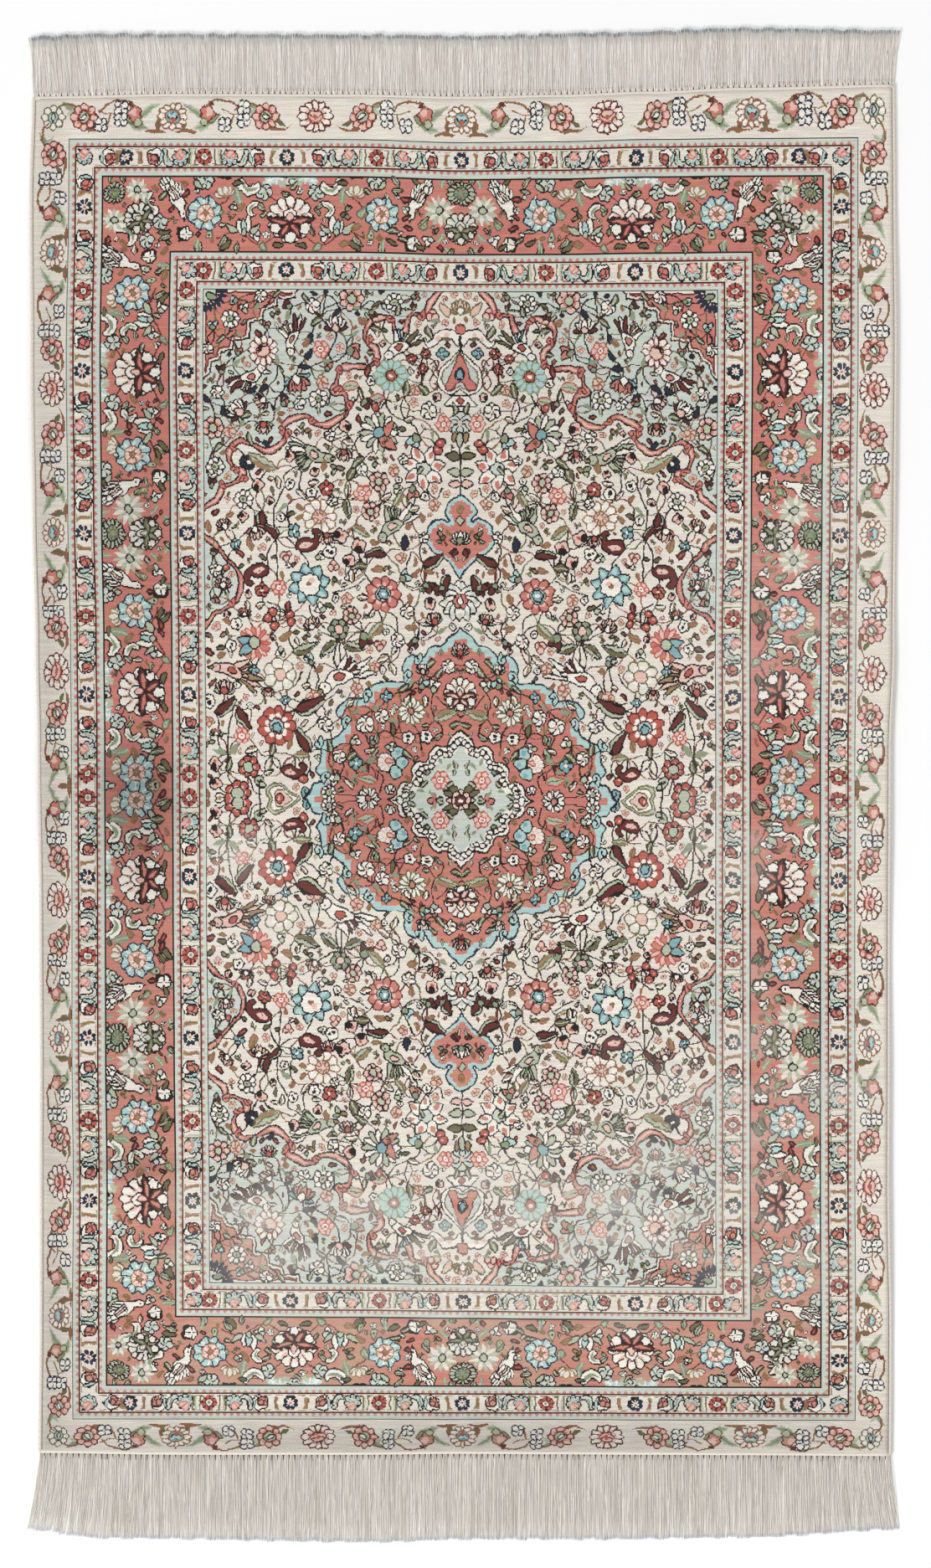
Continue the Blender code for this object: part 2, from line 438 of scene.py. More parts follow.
# the tone of the painted sheen, and the most that a painted amount of 1 pales by, as sheen, and darkens by,
# as shade
SHEEN_TONE = "#DFDAD1"
MOST_SHEEN = 0.42
MOST_SHADE = 0.5
# the terracotta's faded tone, its largest share, and where the fading begins and ends along the rug
FADED_RED = "#BC9A84"
MOST_FADED = 0.62
FADES_FROM, FADES_TO = 0.0, -0.6
# how fine each unevenness is, in repeats to the metre across and along
BATCHES, SINGLE_KNOTS, PATCHES, TINTS = (28, 560), (1100, 950), (11, 32), (70, 190)
TINT_STRENGTH = 0.4
# numbers are compared with this much play, and a place in a face stays this far under its end
PLAY = 0.1
JUST_UNDER = 0.001


def streaks(tree, place, scale, detail=2.0):
    """Noise that is drawn out along the rows of knots: scale is in repeats to the metre across and along."""
    stretched = node(tree, "ShaderNodeMapping", {"Vector": place, "Scale": (*scale, 1)}).outputs[0]
    return node(tree, "ShaderNodeTexNoise", {"Vector": stretched, "Scale": 1.0, "Detail": detail}).outputs[0]


def spread(tree, value, low, high):
    """Maps a noise's usual range, 0.3 to 0.7, to low and high."""
    return node(tree, "ShaderNodeMapRange", {0: value, 1: 0.3, 2: 0.7, 3: low, 4: high}).outputs[0]


def blend(tree, share, first, second, kind="MIX"):
    """Mixes two colours: first where share is 0, second where it is 1."""
    inputs = {0: share, 6: first, 7: second}
    return node(tree, "ShaderNodeMix", inputs, data_type="RGBA", blend_type=kind).outputs[2]


def thread_and_place(tree):
    """The number of the knot's thread, 0 to 15, and the place within the face, in knots.

    The row picks one of the face's six numbers. It is divided by 16 to the power of the column and
    rounded down, and what a further division by 16 leaves over is the thread.
    """
    corner = node(tree, "ShaderNodeUVMap", uv_map="knot").outputs[0]
    inside = []
    for w in node(tree, "ShaderNodeSeparateXYZ", {0: corner}).outputs[:2]:
        positive = calculate(tree, "MAXIMUM", w, 0.0)
        inside.append(calculate(tree, "MINIMUM", positive, FACE_KNOTS - JUST_UNDER))
    column, row = (calculate(tree, "FLOOR", w) for w in inside)
    rows = []
    for name in ("lower_rows", "upper_rows"):
        kept = node(tree, "ShaderNodeAttribute", attribute_name=name).outputs["Vector"]
        rows += node(tree, "ShaderNodeSeparateXYZ", {0: kept}).outputs[:3]
    number, power = 0.0, 0.0
    for k in range(FACE_KNOTS):
        in_row = calculate(tree, "COMPARE", row, float(k), PLAY)
        in_column = calculate(tree, "COMPARE", column, float(k), PLAY)
        number = calculate(tree, "MULTIPLY_ADD", rows[k], in_row, number)
        power = calculate(tree, "MULTIPLY_ADD", in_column, 16.0**k, power)
    higher = calculate(tree, "FLOOR", calculate(tree, "DIVIDE", number, power))
    return calculate(tree, "MODULO", higher, 16.0), inside


def dye_of(tree, thread):
    """The dye of a thread, from a ramp with one step for each silk."""
    count = len(SILKS)
    stop = calculate(tree, "MULTIPLY_ADD", thread, 1 / count, 0.5 / count)
    dyes = node(tree, "ShaderNodeValToRGB", {0: stop})
    ramp = dyes.color_ramp
    ramp.interpolation = "CONSTANT"
    for i, colour in enumerate(SILKS.values()):
        stop = ramp.elements[0] if i == 0 else ramp.elements.new(i / count)
        stop.position = i / count
        stop.color = linear(colour)
    while len(ramp.elements) > count:
        ramp.elements.remove(ramp.elements[-1])
    return dyes.outputs[0]


def add_painted_sheen_and_shade(tree, colour, patches):
    """Painted sheen and painted shade: paler, in patches, where the kept amount is above 0, and darker where
    it is below 0.
    """
    painted_sheen_and_shade = node(tree, "ShaderNodeAttribute", attribute_name="painted_sheen_and_shade").outputs["Fac"]
    towards = calculate(tree, "MAXIMUM", painted_sheen_and_shade, 0.0)
    pale = calculate(tree, "MULTIPLY", towards, calculate(tree, "MULTIPLY", patches, MOST_SHEEN))
    dark = calculate(tree, "MULTIPLY_ADD", calculate(tree, "MINIMUM", painted_sheen_and_shade, 0.0), MOST_SHADE, 1.0)
    darkened = node(tree, "ShaderNodeHueSaturation", {"Color": colour, "Value": dark}).outputs[0]
    return blend(tree, pale, darkened, linear(SHEEN_TONE))


# %% The whole pile
def silk_pile():
    """The pile: each knot has its thread's dye, unevenly taken up, and its own small tuft and gloss."""
    made, tree = new_material("clipped silk pile")
    thread, inside = thread_and_place(tree)
    dye = dye_of(tree, thread)

    here = node(tree, "ShaderNodeTexCoord").outputs["Object"]
    batch = spread(tree, streaks(tree, here, BATCHES), 0.86, 1.12)
    single = spread(tree, streaks(tree, here, SINGLE_KNOTS, 0.0), 0.88, 1.1)
    shade = calculate(tree, "MULTIPLY", batch, single)
    patches = spread(tree, streaks(tree, here, PATCHES, 5.0), 0.0, 1.55)

    along = node(tree, "ShaderNodeSeparateXYZ", {0: here}).outputs["Y"]
    reach = {0: along, 1: FADES_FROM, 2: FADES_TO, 3: 0.0, 4: MOST_FADED}
    fading = node(tree, "ShaderNodeMapRange", reach).outputs[0]
    red = calculate(tree, "COMPARE", thread, float(TERRACOTTA), PLAY)
    faded = calculate(tree, "MULTIPLY", calculate(tree, "MULTIPLY", fading, patches), red)
    aged = blend(tree, faded, dye, linear(FADED_RED))

    tint = streaks(tree, here, TINTS, 4.0).node.outputs["Color"]
    tinted = blend(tree, TINT_STRENGTH, aged, tint, "SOFT_LIGHT")
    dyed = node(tree, "ShaderNodeHueSaturation", {"Color": tinted, "Value": shade}).outputs[0]
    # the painted sheen and painted shade go over the dyes
    with_sheen_and_shade = add_painted_sheen_and_shade(tree, dyed, patches)

    tuft = [calculate(tree, "PINGPONG", w, 0.5) for w in inside]
    height = calculate(tree, "MULTIPLY", *tuft)
    bump = node(tree, "ShaderNodeBump", {"Height": height, "Strength": 0.35, "Distance": 0.5 * MM}).outputs[0]
    shader = node(tree, "ShaderNodeBsdfPrincipled", {
        "Base Color": with_sheen_and_shade,
        "Roughness": 0.55,
        "IOR": 1.54,
        "Specular IOR Level": 0.2,
        "Sheen Weight": 0.04,
        "Sheen Roughness": 0.4,
        "Normal": bump,
    })
    node(tree, "ShaderNodeOutputMaterial", {"Surface": shader.outputs[0]})
    return made


# %% [markdown]
# ## Squared paper and its tools
#
# A cartoon is coloured in square by square, and one square is one knot. Only a quarter is drawn,
# because the weaver mirrors it across both middle lines. A motif is a list of shapes with its
# sizes in millimetres, so that it keeps its proportions although a knot is taller than it is
# wide. Each shape is an outline that is filled with one thread colour and may be edged by a line
# one or two knots wide. On the rug, that dark line is what keeps the small flowers readable.

# %% Filling and lining squares
KNOT_WIDE, KNOT_TALL = 0.838, 0.95
HALF_COLUMNS, HALF_ROWS = COLUMNS // 2, ROWS // 2
HEAVY_FROM = 4.6
EDGE_ROOM = 3
border = np.full((HALF_ROWS, HALF_COLUMNS), IVORY, np.uint8)
field = np.full((FIELD_MIDDLE_ROW, HALF_COLUMNS), IVORY, np.uint8)


def grown(squares, twice):
    """Squares and their four neighbours, or all neighbours and one more to the left and right."""
    wide = np.pad(squares, 2)
    sides = wide[2:-2, 1:-3] | wide[2:-2, 3:-1] | squares
    near = sides | wide[1:-3, 2:-2] | wide[3:-1, 2:-2]
    if not twice:
        return near
    wide = np.pad(near, 1)
    return near | wide[1:-1, :-2] | wide[1:-1, 2:] | wide[:-2, 1:-1] | wide[2:, 1:-1]


def fill(paper, outline, colour, edge=None):
    """Fills the squares whose middles lie inside an outline (n, 2) in knots, then lines those round them.

    A middle is inside if a line to its left crosses the outline an odd number of times. The edge is
    one square wide, or two round shapes that are wider than HEAVY_FROM squares.
    """
    low = np.floor(outline.min(0)).astype(int) - EDGE_ROOM
    high = np.ceil(outline.max(0)).astype(int) + EDGE_ROOM + 1
    low = np.maximum(low, 0)
    high = np.minimum(high, (paper.shape[1], paper.shape[0]))
    if (high <= low).any():
        return
    x = np.arange(low[0], high[0])[None, None] + 0.5
    y = np.arange(low[1], high[1])[None, :, None] + 0.5
    (x0, y0), (x1, y1) = outline.T, np.roll(outline, -1, 0).T
    x0, y0, x1, y1 = (v[:, None, None] for v in (x0, y0, x1, y1))
    spans = (y0 > y) != (y1 > y)
    rise = np.where(y1 == y0, 1e-9, y1 - y0)
    inside = (spans & (x > x0 + (y - y0) * (x1 - x0) / rise)).sum(0) % 2 == 1
    part = paper[low[1] : high[1], low[0] : high[0]]
    if edge is not None:
        part[grown(inside, np.ptp(outline[:, 0]) > HEAVY_FROM) & ~inside] = edge
    if colour is not None:
        part[inside] = colour


def line(paper, points, colour, width=2):
    """Colours the squares along a run of points (n, 2) in knots, each point width squares across the rug."""
    steps = np.abs(np.diff(points, axis=0)).max(1)
    along = np.concatenate([[0], np.cumsum(np.maximum(steps, 1e-6))])
    at = np.linspace(0, along[-1], int(along[-1] * 2) + 2)
    squares = np.stack([np.interp(at, along, points[:, i]) for i in range(2)], -1).astype(int)
    squares = np.concatenate([squares + (k, 0) for k in range(width)])
    squares = squares[((squares >= 0) & (squares < (paper.shape[1], paper.shape[0]))).all(1)]
    paper[squares[:, 1], squares[:, 0]] = colour


def turned(points, degrees):
    """Points turned anticlockwise."""
    c, s = math.cos(math.radians(degrees)), math.sin(math.radians(degrees))
    return np.asarray(points, float) @ np.array([(c, s), (-s, c)])


def place(paper, motif, along, across, turn=0, size=1, mirror=False, side="top"):
    """Draws a motif at a knot.

    The side "left" lays it down the left border, with the motif's upward way to the left.
    """
    for points, colour, edge in motif:
        a, b = (turned(points, turn) * size).T
        a = -a if mirror else a
        if side == "top":
            knots = np.stack([along + a / KNOT_WIDE, across - b / KNOT_TALL], -1)
        else:
            knots = np.stack([across - b / KNOT_WIDE, along + a / KNOT_TALL], -1)
        if colour is None:
            line(paper, knots, edge)
        else:
            fill(paper, knots, colour, edge)


def curve(points, steps=8):
    """A smooth line through its points: the Catmull-Rom cubic."""
    p = np.asarray(points, float)
    p = np.concatenate([2 * p[:1] - p[1:2], p, 2 * p[-1:] - p[-2:-1]])
    t = np.linspace(0, 1, steps, endpoint=False)[None, :, None]
    a, b, c, d = (p[i : len(p) - 3 + i, None] for i in range(4))
    run = (2 * b + (c - a) * t + (2 * a - 5 * b + 4 * c - d) * t**2 + (3 * b - a - 3 * c + d) * t**3) / 2
    return np.concatenate([run.reshape(-1, 2), p[-2:-1]])


def vine(paper, points, colour):
    """A fine stem on a smooth line through knots."""
    line(paper, curve(points), colour)


# %% [markdown]
# ## The shapes of the flowers
#
# Rosettes, leaves and petals all come from two formulas. A rosette is a circle whose radius
# dips between its petals. A leaf is a sine bulge on both sides of a bent rib, and it can have
# teeth. Longer lists of such shapes make the palmettes, tulips, birds and scrolls.

# %% Two formulas and the motifs made with them
def disc(radius, lobes=0, dip=0.25, at=(0, 0), squash=1.0, turn=0):
    """radius × (1 - dip × (1 - |cos(lobes × angle / 2)|)), a circle when there are no lobes."""
    count = max(20, lobes * 8)
    angle = np.arange(count) / count * 2 * np.pi
    r = radius * (1 - dip * (1 - np.abs(np.cos(lobes * angle / 2)))) if lobes else radius
    return turned(np.stack([r * np.cos(angle), r * np.sin(angle) * squash], -1), turn) + at


def leaf(length, width, bend=0.0, at=(0, 0), turn=0, teeth=0, bulge=0.8):
    """From its stalk at `at`: half width = width / 2 × sin(π t^bulge), rib bent by bend × length × t²."""
    t = np.linspace(0, 1, 11 if not teeth else 4 * teeth + 1)
    half = width / 2 * np.sin(np.pi * t**bulge)
    if teeth:
        half = half * (1 - 0.45 * (t * teeth % 1))
    rib = bend * length * t**2
    sides = [np.stack([t * length, rib + half], -1), np.stack([t * length, rib - half], -1)[::-1]]
    return turned(np.concatenate(sides), turn) + at


def rib(length, bend=0.0, at=(0, 0), turn=0, start=0.1, end=0.9):
    """The bent middle line of a leaf."""
    t = np.linspace(start, end, 6)
    return turned(np.stack([t * length, bend * length * t**2], -1), turn) + at


def rays(inner, outer, count, turn=0, at=(0, 0)):
    """Short lines between the petals of a rosette, as runs of two points."""
    return [turned([(inner, 0), (outer, 0)], turn + 360 * (k + 0.5) / count) + at for k in range(count)]


def ray_lines(colour, *args, **kwargs):
    """Rays as the lines of a motif."""
    return [(points, None, colour) for points in rays(*args, **kwargs)]


def rosette(r, lobes, petal, heart, shade=None, core=None, edge=DARK, hub=0.42, turn=0, squash=1.0):
    """A round flower: petals, an optional paler ring, lines between the petals, a heart and a core."""
    made = [(disc(r, lobes, 0.22, turn=turn, squash=squash), petal, edge)]
    if shade is not None:
        made.append((disc(r * 0.66, lobes, 0.25, turn=turn, squash=squash), shade, None))
    made += ray_lines(edge, r * hub, r * 0.86, lobes, turn)
    made.append((disc(r * hub, squash=squash), heart, edge))
    if core is not None:
        made.append((disc(r * hub * 0.45), core, None))
    return made


def daisy(r, petals, first, second, heart, edge=None, turn=0):
    """A star flower of narrow petals in two colours with a small square heart."""
    made = []
    for k in range(petals):
        shape = leaf(r, 2.4 * math.pi * r / petals / 2, at=(0, 0), turn=turn + 360 * k / petals, bulge=1.5)
        made.append((shape, first if k % 2 == 0 else second, edge))
    made.append((disc(r * 0.2), heart, DARK))
    return made


def blossom(r, petals, petal, heart, edge=DARK, turn=90):
    """A small flower of separate round petals."""
    angles = [turn + 360 * k / petals for k in range(petals)]
    made = [(disc(r * 0.42, at=turned((r * 0.58, 0), angle)), petal, edge) for angle in angles]
    made.append((disc(r * 0.22), heart, None))
    return made


def leaflet(length, width, colour, bend=0.2, edge=DARK, vein=None, teeth=0, turn=0, at=(0, 0)):
    """A leaf with its rib."""
    made = [(leaf(length, width, bend, at, turn, teeth), colour, edge)]
    if vein is not None:
        made.append((rib(length, bend, at, turn), None, vein))
    return made


def bud(length, petal, cup, edge=DARK):
    """A closed flower on its cup, pointing right."""
    return [
        (leaf(length * 0.7, length * 0.5, 0.3, (length * 0.3, 0), 18), petal, edge),
        (leaf(length * 0.7, length * 0.5, -0.3, (length * 0.3, 0), -18), petal, edge),
        (leaf(length * 0.5, length * 0.5, 0, (0, 0)), cup, edge),
    ]


def palmette(r, petal, shade, dark, heart):
    """A lotus seen from the side: a fan of lobed petals over a dark butterfly of pointed ones."""
    low = (0, -r * 0.2)
    made = [(disc(r, 13, 0.16, turn=90), petal, DARK)]
    made += [
        (leaf(r * 0.55, r * 0.2, 0, turned((r * 0.32, 0), a), a), shade, None) for a in range(15, 181, 30)
    ]
    made += ray_lines(DARK, r * 0.55, r * 0.88, 13, 90)
    for a in (10, 170, -52, -128):
        reach = 1.16 if a in (10, 170) else 0.86
        made.append((leaf(r * reach, r * 0.62, 0, low, a, 4, 0.9), DARK, None))
        made.append((leaf(r * reach * 0.84, r * 0.3, 0, turned((r * 0.06, 0), a) + low, a), dark, None))
        made.append((leaf(r * reach * 0.62, r * 0.15, 0, turned((r * 0.12, 0), a) + low, a), heart, None))
    for x, y in ((0, -0.8), (0.66, -0.42), (-0.66, -0.42)):
        made.append((disc(r * 0.21, 5, 0.2, at=(x * r, y * r)), petal, DARK))
    made.append((leaf(r * 0.66, r * 0.5, 0, (0, -r * 0.16), 90, bulge=1.2), petal, DARK))
    made.append((leaf(r * 0.4, r * 0.26, 0, (0, -r * 0.12), 90), shade, dark))
    return made


BIRD_BODY = curve([
    (-24, -5), (-20, -1), (-15, 0), (-11, 4), (-5, 6), (3, 5), (9, 4), (16, 2), (16, -1),
    (10, -3), (2, -6), (-6, -6), (-11, -4), (-16, -6), (-20, -8), (-24, -5),
], 3)


def bird(body, wing, feather, edge=DARK):
    """A long-tailed bird, 54 mm long, with its beak to the left and its striped feathers to the right."""
    made = [(leaf(23 - 3 * k, 3.6, 0.08, (8, 3 - 1.8 * k), 10 - 7 * k), body, feather) for k in range(4)]
    made.append((BIRD_BODY, body, edge))
    made += [(leaf(13, 3.4, 0.1, (-5 + 4 * k, 6 - 0.8 * k), 32 - 4 * k), body, feather) for k in range(4)]
    for k in range(3):
        made.append((leaf(15 - k, 3.0, 0, (-4 + k, 3.4 - 2.6 * k), 2), wing if k % 2 else body, feather))
    made += [(disc(1.1, at=(-19.5, -4)), edge, None), (leaf(6, 3, 0, (-22, -6), 215), edge, None)]
    return made


def boteh(length, colour, inner, core, edge=DARK):
    """A paisley drop with its tip bent over."""
    return [
        (leaf(length, length * 0.62, 0.35, bulge=0.55), colour, edge),
        (leaf(length * 0.62, length * 0.36, 0.3, (length * 0.1, 0), 2, bulge=0.55), inner, None),
        (disc(length * 0.09, at=(length * 0.32, length * 0.03)), core, None),
    ]


def triple(petal, heart, edge, stalk):
    """Three small outlined flowers on one forked stalk."""
    stalks = ([(-13, 7), (-4, 3), (4, 3), (9, 7)], [(0, 3), (-2, -4), (-4, -8)])
    made = [(curve(points), None, stalk) for points in stalks]
    for x, y in ((-9, -7), (9, 8), (9, -3)):
        small = blossom(6.2, 4, petal, heart, edge, turn=45 + 10 * x)
        made += [(points + (x, y), c, e) for points, c, e in small]
    return made


# %% [markdown]
# ## Distances in the border
#
# A square's inset is its distance from the rug's edge in knots. With it, one formula draws a
# stripe along all sides at once, and the stripes meet in the corner on the diagonal.

# %% Insets and the main border's ground
row_index, column_index = np.indices(border.shape)
inset = np.minimum(row_index, column_index)
along_edge = np.maximum(row_index, column_index)
# the two lines of each guard stripe, and the line on which its teeth stand
GUARDS = ((47, 56, "inner"), (79, 89, "outer"), (176, 185, "inner"), (209, 218, "outer"))
MAIN_FROM, MAIN_TO = GUARDS[1][1], GUARDS[2][0]
border[(inset > MAIN_FROM) & (inset < MAIN_TO)] = TERRACOTTA

# %% [markdown]
# ## The main border
#
# The broad border is terracotta. Blue rosettes and large white palmettes take turns, and at the
# corners and middles stand clusters of green and cream star flowers with a pair of birds. Small
# leaves, drops and flowers fill every space, as on the real rug, where the ground is never left
# open for more than a few knots.

# %% Main border
BLUE_ROSE = [
    (disc(18, 8, 0.2, turn=22), PALE_BLUE, NAVY),
    *ray_lines(CREAM, 10, 15, 8, 30),
    *ray_lines(NAVY, 8, 17, 8, 55),
    (disc(8.8, 9, 0.14), PINK, BROWN),
    *ray_lines(CREAM, 2, 8, 9),
    *ray_lines(BRICK, 3, 7, 5, 10),
    (disc(2.6, 4, 0.3), GOLD, BROWN),
]
WHITE_PALMETTE = palmette(24.5, CREAM, PINK, MAROON, TERRACOTTA)
SMALL_PALMETTE = palmette(17, IVORY, MINT, OLIVE, GREEN)
STAR_FLOWER = daisy(16.5, 14, IVORY, PALE_GREEN, PALE_GREEN, turn=8)
GREEN_ROUND = rosette(14.5, 16, PALE_GREEN, GREEN, shade=MINT, hub=0.5, squash=0.82)
GREEN_ROUND += ray_lines(OLIVE, 3, 7, 9)
TAIL_UP_BIRD = bird(CREAM, PINK, DARK)
WHITE_FLOWER = blossom(6.4, 5, MINT, PALE_GREEN, turn=90)
C_FLOWER = [
    (disc(6.4, 5, 0.25, at=(1, 0)), CREAM, DARK),
    (
        curve([(3, 7), (-5, 7), (-7, 0), (-5, -7), (1, -7), (-3.6, -3), (-4.6, 0), (-3.6, 4), (3, 7)], 3),
        DARK, None,
    ),
    *ray_lines(DARK, 2, 6, 4, 45, (1.5, 0)),
]
DROP = boteh(13, OLIVE, PALE_GREEN, DARK, None)
SMALL_DROP = boteh(9, GREEN, PALE_GREEN, OLIVE, OLIVE)
TWO_TONE_LEAF = [
    (leaf(18, 9, 0.35, teeth=3), CREAM, DARK),
    (leaf(15, 4.5, 0.32, (1, -1)), GREEN, None),
    (rib(16, 0.34), None, DARK),
]
CREAM_LEAF = leaflet(12, 4.5, PALE_GREEN, 0.25, vein=OLIVE)
DARK_LEAF = leaflet(10, 3.6, OLIVE, 0.3, DARK)
HALF_FLOWER = [
    (leaf(9, 4.6, 0, (0, 0), a, bulge=1.3), IVORY, silk)
    for a, silk in ((20, OLIVE), (160, OLIVE), (50, GOLD), (130, GOLD), (90, GOLD))
]
BUD = bud(10, CREAM, MINT)
LACE = [
    (disc(8.0, 6, 0.3), PALE_BLUE, None), (disc(5.4, 6, 0.3, at=(8, -5)), PALE_BLUE, None),
    (disc(5.0, 5, 0.3, at=(-6, -6)), PALE_GREEN, None), *ray_lines(CREAM, 2, 7, 6),
    (disc(1.8), CREAM, None), *ray_lines(CREAM, 1, 4, 5, 0, (8, -5)),
]
CLASPED = [
    (leaf(15, 7, 0.3, (-5, -6), 70), CREAM, DARK), (leaf(13, 6, -0.25, (4, -7), 100), CREAM, DARK),
    (leaf(13, 5, 0, (0, -7), 86), PALE_BLUE, DARK), (leaf(13, 5, 0.3, (6, -6), 20), PALE_GREEN, DARK),
    (leaf(11, 4.4, -0.3, (-6, -6), 160), PALE_GREEN, DARK), (leaf(6, 5, 0, (0, -9), 90), PALE_GREEN, DARK),
]
HOOKED_LEAF = [
    (
        curve([
            (-10, 0), (-6, 6), (2, 9), (9, 6), (12, -1), (9, -6), (7, -2), (3, 2), (-2, 0), (-6, -3),
            (-10, 0),
        ], 4),
        CREAM, DARK,
    ),
    (curve([(-7, 0), (-3, 4), (3, 6), (8, 3), (10, -2), (5, 2), (-2, 1.5), (-7, 0)], 4), GREEN, None),
]
LEAF_PAIR = [
    (leaf(13, 6, 0.2, (1, 0), 35), PALE_GREEN, DARK),
    (leaf(13, 6, -0.2, (-1, 0), 145), PALE_GREEN, DARK),
    (rib(12, 0.2, (1, 0), 35), None, OLIVE),
]
SOFT_LEAF = [(leaf(16, 7, 0.3), GREEN, None), (rib(14, 0.3), None, PALE_GREEN)]
# knots from a palmette: along, outward, motif, turn, size
BY_PALMETTE = [
    (0, 41, WHITE_FLOWER, 0, 1.15), (19, 42, LACE, 0, 1.1), (34, 24, WHITE_FLOWER, 20, 1.3),
    (33, 6, CREAM_LEAF, 20, 1.0), (40, -20, BUD, -50, 1.2), (56, 33, HOOKED_LEAF, 200, 1.15),
    (60, -14, CLASPED, 0, 1.15), (64, 10, SOFT_LEAF, 60, 1.3), (47, 6, HOOKED_LEAF, 300, 0.8),
    (84, 20, HALF_FLOWER, -10, 1.25), (88, -2, SMALL_DROP, 30, 1.4), (103, -30, DROP, 70, 1.2),
    (86, 41, LEAF_PAIR, 0, 1.0), (78, -31, DARK_LEAF, -60, 1.5), (84, -26, CREAM_LEAF, -70, 1.1),
    (99, 36, SOFT_LEAF, 10, 0.8), (119, -32, CREAM_LEAF, 260, 1.3), (122, -28, SOFT_LEAF, 250, 0.9),
    (110, 36, WHITE_FLOWER, 0, 1.3), (124, 38, LEAF_PAIR, 90, 0.9), (74, 34, DARK_LEAF, 160, 1.0),
    (22, -38, DARK_LEAF, 150, 1.2), (40, -36, SMALL_DROP, 200, 1.1), (104, 8, SOFT_LEAF, 200, 0.9),
]
# the cluster with its birds: along, outward, motif, turn, size
CLUSTER = [
    (16, -6, TWO_TONE_LEAF, 150, 1.0), (22, -20, SOFT_LEAF, -60, 0.9), (15, 36, CREAM_LEAF, 100, 1.1),
    (24, 30, SOFT_LEAF, 80, 0.8), (44, -2, CREAM_LEAF, 300, 1.0), (28, 6, STAR_FLOWER, 0, 1.05),
    (0, 26, GREEN_ROUND, 0, 1.05), (0, -14, SMALL_PALMETTE, 0, 1.0), (36, -26, BUD, -20, 1.2),
    (64, -33, C_FLOWER, 180, 1.15), (84, -34, DARK_LEAF, 10, 1.2), (48, -38, DARK_LEAF, 10, 1.1),
    (22, -38, SOFT_LEAF, 200, 0.8), (10, -38, CREAM_LEAF, -60, 0.8), (54, 36, DARK_LEAF, 20, 1.0),
    (50, -16, SMALL_DROP, 100, 1.0),
]


# %% Laying out the main border
def scattered(side, along, across, items):
    """Each item on both sides of a middle, mirrored."""
    for a, b, motif, turn, size in items:
        for way in (1,) if a == 0 else (1, -1):
            place(border, motif, along + way * a, across - b, turn, size, mirror=way < 0, side=side)


STEMS = [(-14, 0), (20, 16), (50, 34), (80, 18), (100, 2)], [(10, -20), (40, -36), (70, -20), (96, -28)]


def main_border(side, across, palmettes, blues, clusters, birds):
    """Stems first, then the small things, then the large flowers over them."""
    for at in palmettes:
        for stem in STEMS:
            for way in (1, -1):
                points = np.array([(at + way * a, across - b) for a, b in stem], float)
                vine(border, points if side == "top" else points[:, ::-1], MAROON)
        scattered(side, at, across, BY_PALMETTE)
    for at in clusters:
        scattered(side, at, across, CLUSTER)
    for at, flipped in birds:
        place(border, TAIL_UP_BIRD, at, across - 18, 52, 0.98, mirror=flipped, side=side)
    for at in blues:
        place(border, BLUE_ROSE, at, across, side=side)
    for at in palmettes:
        place(border, WHITE_PALMETTE, at, across + 6, side=side)


main_border("top", 132, [330], [219, 449], [552], [(182, True), (497, False)])
main_border("left", 130, [313, 674], [223, 406, 583, 764], [495], [(184, True), (446, False), (545, True)])
for at_column, at_row, motif, turn, size in [
    (152, 122, HOOKED_LEAF, 120, 1.2), (118, 155, HOOKED_LEAF, -40, 1.2), (98, 97, CREAM_LEAF, 60, 0.8),
    (117, 96, CREAM_LEAF, 100, 0.9), (105, 109, GREEN_ROUND, 45, 0.84), (134, 106, STAR_FLOWER, 0, 0.8),
    (105, 140, STAR_FLOWER, 10, 0.8), (136, 138, SMALL_PALMETTE, 45, 0.94),
    (163, 142, WHITE_FLOWER, 0, 1.2), (160, 154, DARK_LEAF, -10, 1.3), (146, 163, WHITE_FLOWER, 0, 1.2),
    (193, 156, C_FLOWER, 0, 1.15), (150, 180, C_FLOWER, 270, 1.1), (176, 158, CREAM_LEAF, 190, 1.1),
]:
    place(border, motif, at_column, at_row, turn, size)

# %% [markdown]
# ## The guard stripes
#
# Four narrow mint stripes part the borders. Each has a dark line on both sides and a row of small
# red teeth, whose feet stand on the line beside the ivory border. The stripes are laid over the
# main border, whose outermost leaves run up to them.

# %% Guard stripes
TOOTH = 9
TOOTH_HALF = 2.7
TOOTH_SLOPE = 0.6
TOOTH_TALL = 4
border[(inset <= MAIN_FROM) | (inset >= MAIN_TO)] = IVORY


def guard(outer, inner, foot):
    """Lines at two insets, mint between them, and teeth of half width TOOTH_HALF - TOOTH_SLOPE × height."""
    from_foot = inner - 2 - inset if foot == "inner" else inset - outer - 2
    within = (inset > outer) & (inset < inner)
    tooth = np.abs(along_edge % TOOTH - TOOTH // 2) <= TOOTH_HALF - TOOTH_SLOPE * from_foot
    border[within] = MINT
    border[within & tooth & (from_foot < TOOTH_TALL)] = TERRACOTTA
    footed, open_side = (inner, outer) if foot == "inner" else (outer, inner)
    border[(inset == footed) | (inset == footed + (-1 if foot == "inner" else 1))] = MAROON
    border[inset == footed] = DARK
    border[inset == open_side] = DARK


for outer, inner, foot in GUARDS:
    guard(outer, inner, foot)
border[(inset == MAIN_FROM + 1) | (inset == MAIN_TO - 1)] = DARK

